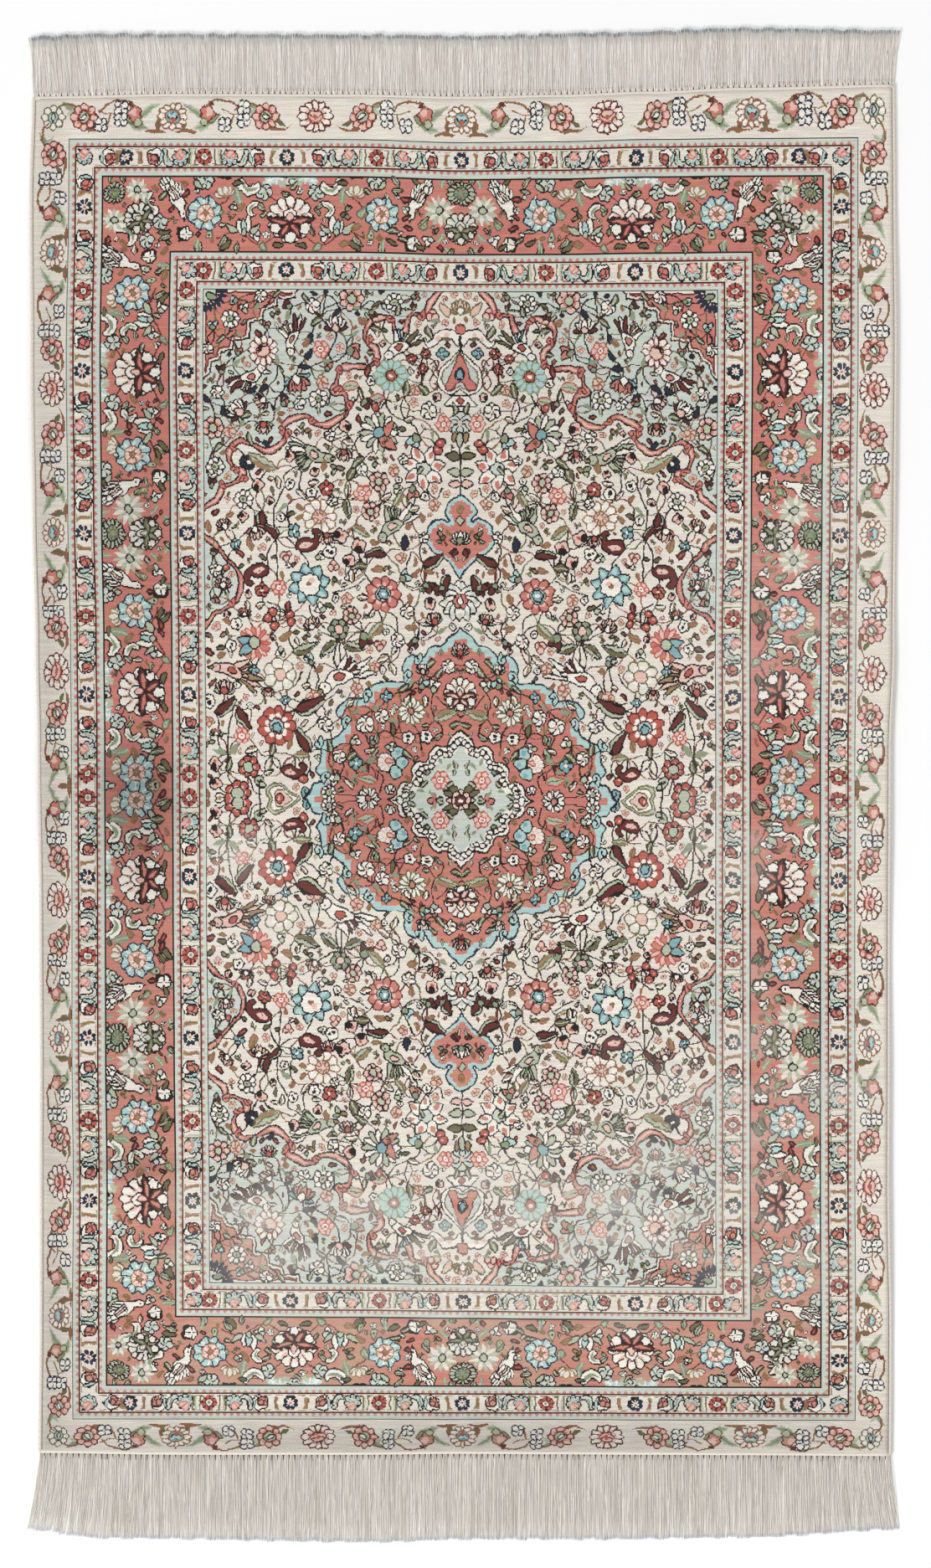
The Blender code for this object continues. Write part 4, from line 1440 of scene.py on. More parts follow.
# %% Flowers of the corner pieces and the field
FIELD_FLOWERS = [
    # column, row, flower, turn, size
    # the red triangle
    (221, 221, NAVY_FAN, 0, 1.25), (264, 231, BLUE_BUD, 180, 0.9), (254, 252, CREAM_ROUND, 0, 1.05),
    (293, 226, WHITE_ROUND, 0, 0.9), (231, 265, BLUE_BUD, 90, 0.9), (225, 286, WHITE_ROUND, 0, 0.8),
    (283, 240, GREEN_LEAF, 20, 1.0), (262, 266, GREEN_LEAF, -50, 0.8), (308, 228, OLIVE_LEAF, 30, 0.8),
    (246, 272, OLIVE_LEAF, 200, 0.7),
    # the mint corner piece
    (360, 237, WHITE_ROUND, 0, 1.05), (375, 225, NAVY_LEAF, 60, 0.9), (396, 242, NAVY_LEAF, 200, 1.0),
    (333, 238, MAROON_BUD, 150, 1.0), (411, 229, RED_ROUND, 0, 1.45), (465, 232, CREAM_ROUND, 0, 0.95),
    (436, 243, MAROON_BUD, 300, 0.9), (448, 233, DARK_LEAF, 200, 0.9), (489, 226, RED_BUD, 20, 0.8),
    (492, 240, MAROON_BUD, 100, 0.7), (334, 273, PALE_BIRD, 55, 0.92), (279, 318, PALE_BIRD, 188, 0.95),
    (390, 262, DARK_CUP, 0, 1.0), (371, 286, PINK_ROUND, 0, 1.0), (405, 288, RED_BUD, 0, 1.4),
    (359, 268, NAVY_LEAF, 250, 1.0), (352, 296, NAVY_LEAF, 40, 1.1), (356, 307, NAVY_LEAF, 160, 1.1),
    (320, 335, NAVY_LEAF, 300, 1.1), (303, 327, NAVY_LEAF, 200, 1.1), (276, 334, NAVY_LEAF, 10, 1.1),
    (226, 345, NAVY_LEAF, 130, 1.0), (245, 362, NAVY_LEAF, 80, 1.0), (243, 314, MAROON_BUD, 100, 1.0),
    (297, 288, C_ROSE, 0, 1.0), (301, 263, RED_BUD, 90, 0.8), (265, 293, RED_BUD, 90, 0.8),
    (379, 309, RED_BUD, 70, 0.8), (321, 349, RED_BUD, 50, 0.8), (340, 321, BLUE_CUP, 200, 1.05),
    (368, 342, CREAM_ROUND, 0, 1.1), (373, 323, PINK_SMALL, 20, 1.1), (343, 347, WHITE_SMALL, 0, 1.1),
    (237, 335, WHITE_ROUND, 30, 0.9), (296, 343, PINK_CUP, 120, 0.8), (265, 357, DARK_CUP, 50, 1.05),
    (297, 372, TULIP_UP, 180, 1.2), (231, 375, RED_ROUND, 0, 1.25), (253, 380, PINK_SMALL, 0, 1.1),
    (229, 400, GREEN_LEAF, 20, 1.1), (233, 419, CREAM_ROUND, 0, 1.0), (228, 443, MAROON_BUD, 80, 0.9),
    (226, 432, OUTLINE_LEAF, 20, 0.8), (326, 253, GREEN_LEAF, 60, 1.2), (315, 304, GREEN_LEAF, 80, 1.0),
    (257, 304, GREEN_LEAF, 20, 1.1), (385, 300, GREEN_LEAF, 150, 1.0), (311, 357, GREEN_LEAF, 30, 1.0),
    (382, 351, GREEN_LEAF, 30, 0.9), (371, 251, OLIVE_LEAF, 200, 0.9), (411, 271, GREEN_LEAF, 20, 0.9),
    (469, 246, OLIVE_LEAF, 60, 0.8), (448, 266, OLIVE_LEAF, 140, 0.9), (423, 240, GREEN_LEAF, 160, 0.9),
    (242, 395, OLIVE_LEAF, 200, 0.8), (267, 372, GREEN_LEAF, 60, 1.0),
    # the upper field
    (276, 414, rosette(8, 7, NAVY, CREAM, hub=0.3), 0, 1.0), (312, 421, SERRATE_PALE, 165, 1.5),
    (344, 425, SERRATE, 60, 1.1), (359, 405, GREEN_PARROT, 140, 1.05), (382, 383, WHITE_SMALL, 0, 1.0),
    (331, 407, DARK_SMALL, 0, 1.0), (288, 440, DARK_SMALL, 90, 1.1), (270, 456, CREAM_ROUND, 10, 1.05),
    (294, 470, SPLIT_LEAF, 260, 0.95), (244, 486, PINK_CUP, 30, 0.75), (285, 490, PINK_CUP, 200, 0.9),
    (260, 507, BLUE_SMALL, 20, 1.0), (378, 443, RED_SMALL, 0, 1.35), (405, 434, OLIVE_LEAF, 50, 1.5),
    (404, 456, SERRATE, 265, 0.9), (446, 435, RED_ROUND, 0, 1.15), (425, 449, PINK_ROUND, 0, 1.0),
    (435, 469, RED_ROUND, 20, 1.05), (450, 454, OUTLINE_LEAF, 20, 1.0), (452, 460, OUTLINE_LEAF, -25, 1.0),
    (369, 475, IVORY_ROSE, 0, 1.05), (424, 422, WHITE_SMALL, 0, 1.2), (401, 402, TULIP_UP, 180, 1.2),
    (462, 315, SKY_ROSE, 0, 1.02), (474, 281, RED_PARROT, 12, 0.95), (489, 295, RED_SMALL, 0, 0.9),
    (507, 289, RED_SMALL, 30, 0.9), (503, 307, RED_SMALL, 60, 0.9), (420, 327, BEAN, 170, 1.3),
    (452, 342, BEAN, 175, 1.3), (479, 338, OLIVE_LEAF, 60, 1.2), (446, 380, SPIKY_WHITE, 0, 1.1),
    (403, 374, DARK_SMALL, 200, 1.2), (498, 382, BLUE_BUD, 230, 1.5), (518, 375, GREEN_LEAF, 250, 1.0),
    (504, 419, WHITE_LILY, 10, 1.2), (427, 409, OLIVE_LEAF, 200, 1.2), (476, 447, SERRATE_PALE, 250, 0.8),
    (465, 484, GREEN_PARROT, 22, 1.08), (396, 497, DARK_SMALL, 20, 1.4), (420, 508, DARK_SMALL, 120, 1.3),
    (412, 486, SERRATE_PALE, -20, 0.9), (478, 512, NAVY_LEAF, 70, 1.5), (454, 518, SPLIT_LEAF, 160, 0.95),
    (503, 528, SPLIT_LEAF, 5, 1.1), (407, 524, DARK_SMALL, 60, 1.2), (338, 510, RED_PAISLEY, 10, 1.05),
    (302, 533, RED_PAISLEY, 190, 1.08), (312, 499, SPLIT_LEAF, 110, 0.8), (335, 491, BLUE_SMALL, 40, 1.3),
    (355, 552, BLUE_LILY, 10, 1.0), (451, 562, RED_BLUE_ROSE, 0, 1.0), (474, 546, BLUE_BUD, 40, 1.2),
    (430, 531, OLIVE_LEAF, 170, 1.3), (403, 545, OUTLINE_LEAF, 30, 1.2), (410, 548, OUTLINE_LEAF, 80, 1.0),
    (499, 556, SERRATE, 10, 0.85), (505, 550, MAROON_BUD, -30, 1.2), (293, 558, RED_SMALL, 0, 1.2),
    (315, 555, PINK_ROUND, 0, 0.9), (486, 468, OUTLINE_LEAF, 20, 1.0), (504, 497, WHITE_SMALL, 0, 1.0),
    (350, 455, OUTLINE_LEAF, 120, 1.0), (327, 462, GREEN_LEAF, 200, 1.2), (377, 497, TULIP_UP, 180, 1.1),
    (385, 458, WHITE_SMALL, 30, 0.9), (414, 392, OUTLINE_LEAF, 160, 1.1), (481, 366, OUTLINE_LEAF, 10, 0.9),
    (489, 440, RED_BUD, 280, 1.2), (523, 398, CHERRY, 0, 1.2), (523, 316, OUTLINE_LEAF, 100, 0.9),
    (442, 350, CHERRY, 0, 1.0), (424, 345, MAROON_BUD, -20, 1.1), (405, 352, OUTLINE_LEAF, 40, 1.0),
    (494, 330, PINK_SMALL, 0, 1.0), (510, 335, OLIVE_LEAF, 120, 1.0), (478, 410, WHITE_SMALL, 0, 0.9),
    # the side lobe
    (228, 520, MAROON_BUD, 60, 0.9), (233, 536, WHITE_ROUND, 0, 0.9), (243, 553, PINK_CUP, 0, 0.75),
    (228, 572, RED_BUD, 30, 0.8), (229, 556, GREEN_LEAF, 80, 0.9), (250, 568, GREEN_LEAF, 100, 0.8),
    (246, 533, CHERRY, 0, 0.8),
    # between the lobe and the medallion
    (283, 618, SPIKY_RED, 0, 1.0), (270, 586, BLUE_CUP, 0, 0.55), (300, 590, CHERRY, 0, 1.1),
    (309, 598, CHERRY, 0, 1.1), (306, 583, CHERRY, 0, 1.1), (329, 586, CHERRY, 0, 1.0),
    (331, 594, CHERRY, 0, 1.0), (359, 599, PINK_CUP, 20, 0.85),
    (393, 602, rosette(10, 6, GREEN, PINK, shade=PALE_GREEN), 0, 1.0), (390, 618, SERRATE, 205, 1.0),
    (400, 618, SERRATE, -30, 1.0), (334, 628, SERRATE, 5, 1.25), (410, 587, RED_ROUND, 0, 1.0),
    (424, 606, MAROON_BUD, 290, 1.6), (450, 594, SERRATE_PALE, 240, 1.1), (483, 581, WHITE_ROUND, 0, 1.0),
    (494, 592, OUTLINE_LEAF, 260, 1.3), (471, 614, WHITE_ROUND, 20, 1.0),
    (458, 632, OUTLINE_LEAF, 200, 1.2), (462, 640, OUTLINE_LEAF, 280, 1.1),
    (495, 612, MAROON_BUD, 240, 1.1), (519, 592, TULIP_UP, 20, 1.2), (521, 604, GREEN_LEAF, 10, 1.2),
    (396, 654, MAROON_BIRD, 10, 1.35), (256, 650, BEIGE_BIRD, -38, 1.15),
    (316, 654, rosette(17, 7, IVORY, PINK, shade=CREAM, edge=OLIVE, hub=0.34), 0, 1.05),
    (282, 649, BLUE_SMALL, 0, 0.9), (359, 642, BLUE_BUD, 120, 1.0), (359, 679, PINK_SMALL, 0, 1.2),
    (416, 669, PINK_SMALL, 30, 1.1), (440, 644, PINK_SMALL, 0, 1.0), (336, 693, SPLIT_LEAF, 2, 1.5),
    (352, 742, SPLIT_LEAF, 100, 1.25), (375, 710, WHITE_ROUND, 0, 1.0), (311, 712, BIG_RED_ROSE, 0, 1.0),
    (230, 697, SPLIT_LEAF, 15, 1.2), (262, 692, SPLIT_LEAF, 280, 1.1), (243, 672, TULIP_UP, 0, 1.35),
    (232, 721, BLUE_CUP, 0, 0.5), (265, 723, PINK_ROUND, 0, 0.85), (246, 744, GREEN_LEAF, 150, 1.5),
    (248, 744, GREEN_LEAF, 35, 1.5), (260, 788, rosette(12, 7, BRICK, PALE_GREEN, shade=PINK), 0, 1.15),
    (274, 758, rosette(10, 7, BRICK, PALE_GREEN, shade=PINK), 0, 1.1), (231, 755, DARK_SMALL, 90, 1.2),
    (231, 778, DARK_SMALL, 0, 1.1), (334, 745, SERRATE_PALE, 10, 0.8), (318, 762, RED_PAISLEY, -15, 0.9),
    (346, 772, CHERRY, 0, 1.1), (302, 745, OLIVE_LEAF, 60, 1.0), (284, 738, OUTLINE_LEAF, 190, 1.0),
    (246, 762, OLIVE_LEAF, 60, 1.0), (296, 768, OUTLINE_LEAF, 30, 0.8), (300, 672, TULIP_UP, 180, 0.9),
    (322, 683, BLUE_SMALL, 0, 0.9), (277, 690, WHITE_SMALL, 0, 0.8),
    # the ring of the medallion
    (537, 643, WHITE_ROUND, 0, 1.0), (503, 648, CREAM_CUP, 0, 0.5), (500, 668, BLUE_BUD, 60, 1.1),
    (517, 671, CREAM_BUD, 80, 1.1), (455, 677, BLUE_SMALL, 0, 1.0),
    (488, 694, daisy(15, 13, CREAM, CREAM, TERRACOTTA, edge=OLIVE), 0, 1.0),
    (480, 686, OUTLINE_LEAF, 60, 0.9), (518, 702, SERRATE_PALE, 30, 1.2), (427, 710, WHITE_ROUND, 0, 1.25),
    (449, 700, WHITE_ROUND, 20, 1.0), (463, 720, DARK_LEAF, 80, 1.2), (484, 724, EYED, 0, 1.0),
    (508, 722, EYED, 0, 1.0), (470, 706, GREEN_LEAF, 150, 1.1), (459, 752, LOBED_BLUE, 0, 1.0),
    (429, 762, GREEN_LEAF, 150, 1.0), (436, 745, OLIVE_LEAF, 40, 0.8), (430, 753, GREEN_LEAF, 30, 1.1),
    (414, 754, BLUE_SMALL, 0, 1.3), (393, 746, WHITE_ROUND, 0, 0.95), (407, 730, CREAM_BUD, 20, 1.1),
    (437, 732, BLUE_BUD, 80, 0.9), (394, 768, CREAM_BUD, 210, 1.2), (379, 787, CREAM_ROUND, 0, 0.8),
    (403, 690, OUTLINE_LEAF, 30, 0.9), (410, 696, GREEN_LEAF, 10, 1.0), (520, 655, OLIVE_LEAF, 40, 0.9),
    (381, 742, OLIVE_LEAF, 80, 1.0), (415, 741, OLIVE_LEAF, 200, 1.0), (492, 660, GREEN_LEAF, 200, 0.9),
    (472, 672, OLIVE_LEAF, 20, 0.9), (407, 776, GREEN_LEAF, 40, 1.1), (436, 692, GREEN_LEAF, 20, 1.0),
    (528, 720, CREAM_LEAF, 200, 0.9), (383, 760, GREEN_LEAF, 200, 0.9), (443, 720, CREAM_LEAF, 250, 0.9),
    (477, 738, OLIVE_LEAF, 300, 0.9), (440, 774, BEAN, 150, 1.3),
]

# %% [markdown]
# ## Stems, middles and small fillings
#
# Fine stems link the flowers. The figures on the two middle lines are drawn last, each half over
# the edge of the paper, so that the mirrored halves close them. At the very end, small leaves and
# buds go wherever a space is left, because a weaver of such rugs leaves no plain ground.

# %% Stems, then the flowers over them
STEM_RUNS = [
    # corner piece
    [(245, 362), (290, 345), (318, 338), (322, 310), (300, 296)],
    [(297, 300), (330, 303), (352, 306), (372, 300), (388, 280), (391, 262)], [(372, 300), (406, 289)],
    [(360, 240), (372, 248), (376, 226)], [(376, 240), (396, 232), (412, 230)],
    [(226, 345), (238, 350), (262, 352)], [(465, 235), (480, 240), (492, 238)],
    # upper field
    [(310, 487), (309, 465), (322, 440), (322, 428), (340, 418)], [(309, 487), (330, 488)],
    [(310, 487), (313, 520), (312, 548), (300, 560)], [(385, 390), (400, 385), (430, 383)],
    [(470, 382), (498, 382)], [(450, 342), (480, 352), (510, 356), (530, 356)],
    [(375, 487), (378, 500), (400, 508), (420, 508)], [(410, 455), (425, 450), (445, 440)],
    [(435, 470), (452, 456)], [(463, 328), (454, 345), (440, 360)], [(480, 318), (500, 322)],
    [(475, 545), (482, 530), (488, 515)], [(420, 535), (432, 545), (440, 555)],
    [(385, 562), (410, 555), (428, 545)], [(380, 470), (400, 462)], [(355, 575), (360, 590), (375, 600)],
    [(488, 300), (505, 305)], [(504, 440), (520, 452), (528, 440)], [(404, 440), (404, 462)],
    [(454, 580), (468, 590), (470, 605), (480, 615)],
    # lower field
    [(300, 570), (315, 580), (312, 600), (296, 615)], [(318, 580), (330, 590)],
    [(360, 600), (385, 612), (394, 616), (394, 640)], [(316, 672), (335, 665), (345, 650)],
    [(330, 682), (350, 686), (378, 682), (392, 670)], [(345, 720), (360, 712), (368, 700)],
    [(246, 745), (247, 720), (252, 700), (255, 690)], [(247, 720), (236, 722)], [(247, 725), (262, 724)],
    [(232, 700), (246, 690), (262, 690)], [(246, 745), (248, 770), (258, 788)],
    [(274, 770), (280, 785), (290, 788)], [(292, 740), (310, 742), (330, 745)],
    # ring of the medallion
    [(552, 640), (530, 645), (505, 662), (480, 672), (455, 678)], [(552, 700), (535, 690), (520, 676)],
    [(427, 722), (440, 745), (460, 750)], [(393, 750), (412, 754), (445, 752)],
    [(488, 708), (498, 718), (500, 740)], [(498, 720), (520, 722)], [(380, 787), (400, 790), (420, 790)],
    [(440, 760), (450, 770), (445, 786)],
]


def tendrils(paper, places, reach, colours):
    """Bent stems from each flower to its three nearest neighbours within reach, which sag by a sixth."""
    apart = np.linalg.norm(places[:, None] - places[None], axis=-1)
    nearest = np.argsort(apart, axis=1)[:, 1:4]
    for first, others in enumerate(nearest):
        for k, second in enumerate(others):
            if apart[first, second] < reach:
                start, end = places[first], places[second]
                sag = (end - start)[::-1] * (-1, 1) / 6 * (-1) ** (first + k)
                vine(paper, [start, (start + end) / 2 + sag, end], colours[(first + k) % len(colours)])


stands = np.array([flower[:2] for flower in FIELD_FLOWERS], float)
tendrils(field, stands, 46, (DARK, OLIVE, BROWN, DARK, MAROON))
for run in STEM_RUNS:
    vine(field, run, DARK)
for column, row, flower, turn, size in FIELD_FLOWERS:
    place(field, flower, column, row, turn, size)

# %% Curls on the medallion's edge and on the red scroll
CURLS = [
    (502, 632, 200), (478, 657, 20), (426, 681, 30), (398, 709, 20), (371, 729, 200), (370, 772, 20),
]
SCROLL_CURLS = [
    (505, 244, 200), (464, 254, 120), (431, 277, 10), (443, 297, 250), (394, 313, 60), (390, 330, 330),
    (405, 351, 20), (362, 369, 110), (325, 383, 20), (320, 374, 250), (256, 400, 60), (256, 420, 300),
    (266, 432, 330), (243, 443, 80), (258, 571, 200),
]
for column, row, turn in CURLS:
    place(field, curl(1.2, PALE_BLUE), column, row, turn)
for column, row, turn in SCROLL_CURLS:
    place(field, [(points, TERRACOTTA, MAROON) for points, _, _ in curl(0.9, CREAM)], column, row, turn)

# %% The medallion's own flowers and its middle
place(field, palmette(18, CREAM, PINK, MAROON, PINK), 552, 674)
place(field, TULIP_UP, 552, 626, 0, 1.2)
place(field, daisy(13, 13, CREAM, CREAM, TERRACOTTA, edge=DARK), 430, 794)
for turn in (0, 90):
    pair = [(leaf(11, 5, 0, (5, 0), turn), PINK, DARK), (leaf(8, 3.6, 0, (29, 0), turn), TERRACOTTA, DARK)]
    place(field, pair, *MIDDLE, mirror=True)
for angle in (122, 148):
    place(field, [(leaf(13, 5.5, 0.1, turned((9, 0), angle), angle), OLIVE, DARK)], *MIDDLE)
place(field, PINK_ROUND, 525, 771, 0, 1.05)
place(field, RED_BUD, 511, 764, 130, 0.9)
for column, row, turn in ((540, 753, 200), (527, 754, 100), (504, 784, 160), (515, 790, 100)):
    place(field, GREEN_LEAF, column, row, turn, 0.8)
place(field, rosette(10.5, 8, PINK, MAROON, shade=CREAM, hub=0.5, core=CREAM), *MIDDLE)
place(field, [(disc(4.4, 3, 0.35, turn=30), NAVY, None)], 552, 728)
# a dark wave and a row of beads within the edge of the middle, in shares of the way inwards
WAVE_AT, WAVE_SWING, WAVE_BEAT, BEADS_AT = 0.105, 0.022, 0.9, 0.15
heart_edge = curve(HEART, 12)
to_middle = np.array(MIDDLE) - heart_edge
swing = WAVE_AT + WAVE_SWING * np.cos(np.arange(len(heart_edge)) * WAVE_BEAT)
line(field, heart_edge + to_middle * swing[:, None], DARK)
for column, row in (heart_edge + to_middle * BEADS_AT)[::8]:
    place(field, [(disc(2.7, squash=0.8), CREAM, DARK)], column, row)
for column, row, turn in (
    (541, 765, 60), (533, 778, 20), (529, 791, 190),
    (545, 757, 90), (500, 778, 30), (491, 787, 200),
):
    place(field, OLIVE_LEAF, column, row, turn, 0.62)

# %% The pendant and the plants on the long middle line
place(field, half_lily(10, CREAM, PALE_GREEN, GREEN), 552, 500, 0, 1.2)
place(field, [(leaf(9, 6, 0, (0, 0), 90), PALE_GREEN, DARK)], 552, 482)
place(field, [(leaf(8, 4, 0, (0, 0), a), MAROON, DARK) for a in (200, 235)], 548, 511)
for row, reach, colour in ((424, 13, PALE_GREEN), (437, 12, PINK), (406, 15, OLIVE)):
    place(field, leaflet(reach, 7, colour, 0.2), 551, row, 160, 1.0)
line(field, np.array([(551, 378), (551, 447)], float), DARK)
place(field, lily(22, CREAM, MINT, PINK, 12), 552, 569)
place(field, [(disc(8, 6, 0.3), TERRACOTTA, DARK), (leaf(9, 5, 0, (0, -4), 90), CREAM, DARK)], 552, 569)
place(field, SPLIT_LEAF, 538, 540, 230, 1.0)
place(field, MAROON_BUD, 530, 552, 210, 1.2)

# %% The vase above the pendant
def left_half(*points):
    """A smooth half outline that is closed along the middle line."""
    return np.concatenate([curve(points, 4), [(3, points[-1][1]), (3, points[0][1])]])


# left halves in millimetres from the vase's middle: its foot, three layers of its body, stalk and crown
BODY_EDGE = left_half(
    (0, 27), (-4, 22), (-11, 15), (-20, 7), (-23, -4), (-22, -13), (-16, -20), (-10, -22), (-4, -18),
    (0, -14),
)
BODY_WITHIN = left_half(
    (0, 25), (-3, 19), (-9, 12), (-16, 5), (-19, -4), (-17, -12), (-11, -18), (-5, -15), (0, -11),
)
BODY_HEART = left_half(
    (0, 22), (-4, 14), (-8, 5), (-11, -5), (-16, -13), (-14, -17), (-8, -16), (-5, -9), (0, -7),
)
SIDE_TENDRIL = curve([
    (-32, 10), (-27, 15), (-24, 11), (-27, 3), (-33, -6), (-33, -13), (-28, -17), (-25, -13), (-28, -9),
])
CROWN = curve([
    (0, 42), (-8, 46), (-20, 47), (-27, 41), (-34, 33), (-38, 38), (-35, 30), (-28, 31), (-20, 37), (-9, 38),
    (-3, 30), (0, 42),
], 3)
VASE = [
    (np.array([(2, -24), (-9, -24), (-17, -33), (2, -33)]), CREAM, DARK),
    (BODY_EDGE, CREAM, DARK),
    (BODY_WITHIN, MINT, OLIVE),
    (BODY_HEART, TERRACOTTA, MAROON),
    (leaf(14, 8, 0, (0, -6), 90), CREAM, DARK),
    (leaf(10, 5, 0, (0, -4), 90), BLUE, NAVY),
    (disc(2.6, at=(0, -28.5)), BRICK, MAROON),
    (SIDE_TENDRIL, None, MAROON),
    (CROWN, CREAM, DARK),
    (leaf(13, 5, 0, (-9, 36), 170), OLIVE, None),
    (np.array([(-1, 24), (-1, 40)]), None, DARK),
    (disc(5.6, 5, 0.2, at=(0, 48)), TERRACOTTA, MAROON),
    (disc(3, 4, 0.3, at=(-15, 42)), PINK, None),
    (disc(3, 4, 0.3, at=(-24, 38)), PINK, None),
]
place(field, VASE, 552, 312)
place(field, blossom(12.5, 8, MINT, PINK, turn=22), 552, 368, 0, 1.08)
place(field, [
    (leaf(17, 6, 0, (0, 0), 270), PALE_GREEN, DARK),
    (leaf(11, 4, 0, (-6, 0), 268), GOLD, DARK),
], 552, 378)
ROUND_THE_VASE = [
    (546, 356, OLIVE_LEAF, 90, 0.8), (529, 289, BLUE_SMALL, 0, 1.1), (527, 390, CHERRY, 0, 1.2),
    (515, 246, TRIO, 0, 1.3), (509, 258, OLIVE_LEAF, 280, 1.1),
    (537, 247, leaflet(17, 7, PINK, 0.3, OLIVE), 110, 1.0), (526, 252, GREEN_LEAF, 170, 1.1),
    (552, 240, half_lily(11, PINK, GOLD, CREAM, OLIVE), 0, 1.1), (511, 354, WHITE_ROUND, 0, 1.2),
    (530, 368, PINK_ROUND, 0, 0.95),
]
for column, row, flower, turn, size in ROUND_THE_VASE:
    place(field, flower, column, row, turn, size)

# %% The pointed vase that lies on the short middle line
OGEE = curve([(18, 0), (6, -9), (-4, -15), (-14, -15), (-18, -8), (-15, 0)], 4)
for share, colour in ((1.0, PALE_GREEN), (0.78, CREAM), (0.5, PINK)):
    place(field, [(np.concatenate([OGEE, OGEE[::-1] * (1, -1)]) * share, colour, OLIVE)], 320, 794)
place(field, CHERRY, 314, 794)
place(field, curl(1.4, PALE_GREEN), 290, 780, 90)
line(field, np.array([(288, 772), (289, 794)], float), DARK)
place(field, curl(1.0, BLUE), 345, 789, 20)
print(f"The field has {len(FIELD_FLOWERS)} flowers and {len(STEM_RUNS)} stems in its quarter.")

# %% Small fillings wherever a space is left
BROWN_LEAF = leaflet(12, 5, GOLD, 0.3, edge=BROWN, vein=BROWN)
MAROON_LEAF = [(leaf(11, 4.6, 0.35), MAROON, DARK), (leaf(7, 2, 0.3, (1, 0.3)), BRICK, None)]
TWIG = [
    (curve([(-6, -1), (0, 1), (7, -1)]), None, BROWN),
    (leaf(5.5, 2.8, 0.2, (-3, 0), 70), GREEN, DARK),
    (leaf(5.5, 2.8, 0.2, (1, 0), -60), OLIVE, DARK),
    (leaf(5.5, 2.8, 0.2, (4, 0), 50), GOLD, DARK),
]
FORK = [(leaf(8, 3.6, 0.2, turn=a), c, DARK) for a, c in ((35, PALE_GREEN), (-35, GREEN), (180, GOLD))]
FILLINGS = {
    IVORY: [
        OUTLINE_LEAF, OUTLINE_LEAF, PINK_SMALL, PINK_SMALL, CREAM_BUD, DARK_SMALL, DARK_LEAF, EYED,
        BROWN_LEAF, MAROON_LEAF, TWIG, FORK, TRIO, BROWN_LEAF, MAROON_LEAF, TWIG, BROWN_LEAF,
    ],
    MINT: [OLIVE_LEAF, PINK_SMALL, NAVY_LEAF, OUTLINE_LEAF, TWIG, BROWN_LEAF, MAROON_LEAF],
    TERRACOTTA: [
        OLIVE_LEAF, CREAM_LEAF, OUTLINE_LEAF, CREAM_BUD, WHITE_SMALL, MAROON_LEAF, MAROON_LEAF, TWIG,
        BROWN_LEAF, BROWN_LEAF,
    ],
}


def fill_spaces(paper, allowed, ground, half, size, seed, tries=5200):
    """Puts small motifs where a window of plain ground, half knots to each side, holds nothing drawn."""
    draw = np.random.default_rng(seed)
    squares = np.argwhere(allowed & (paper == ground))
    placed = 0
    for pick in draw.integers(0, len(squares), tries):
        row, column = squares[pick]
        window = paper[max(row - half, 0) : row + half + 1, max(column - half - 1, 0) : column + half + 2]
        if (window != ground).any():
            continue
        kinds = FILLINGS[ground]
        motif = kinds[draw.integers(0, len(kinds))]
        place(paper, motif, column, row, draw.uniform(0, 360), size * draw.uniform(0.85, 1.1))
        placed += 1
    return placed


# the knots kept free beside the lines, and half the window with the size of what goes into it
CLEAR_OF_FIELD_EDGE, CLEAR_OF_GUARDS = 3, 9
FIELD_WINDOWS = ((7, 1.05), (5, 0.85), (4, 0.65), (3, 0.5))
BORDER_WINDOWS = ((7, 1.05), (5, 0.85), (4, 0.7), (3, 0.5))
whole_field = np.ones(field.shape, bool)
whole_field[: FIELD_EDGE + CLEAR_OF_FIELD_EDGE] = False
whole_field[:, : FIELD_EDGE + CLEAR_OF_FIELD_EDGE] = False
whole_field[heart] = False
added = 0
for half, size in FIELD_WINDOWS:
    for ground in (IVORY, MINT, TERRACOTTA):
        added += fill_spaces(field, whole_field, ground, half, size, seed=half * 10 + ground)
main_band = (inset > MAIN_FROM + CLEAR_OF_GUARDS) & (inset < MAIN_TO - CLEAR_OF_GUARDS)
for half, size in BORDER_WINDOWS:
    added += fill_spaces(border, main_band, TERRACOTTA, half, size, seed=half)
print(f"{added} small leaves and buds fill the spaces.")

# %% [markdown]
# ## From the quarter to the whole
#
# The border quarter is mirrored both ways. The field's quarter is too, but its lower half has
# fewer rows of knots than its upper half, as on the real rug, where the weaver beat the second
# half down a little harder. The same drawing is then squeezed into fewer rows.

# %% Mirroring the quarters
LOWER_FIELD_ROWS = ROWS - FIELD_EDGE - FIELD_MIDDLE_ROW
WAVER_STEP = 7
WAVER_REACH = 1.5
# the first and last inset of the knots that stay straight: each guard stripe and the knots beside it
STRAIGHT = ((45, 57), (77, 91), (174, 186), (207, 219))


def mirrored(quarter):
    """A quarter and its mirror image to the right."""
    return np.concatenate([quarter, quarter[:, ::-1]], 1)


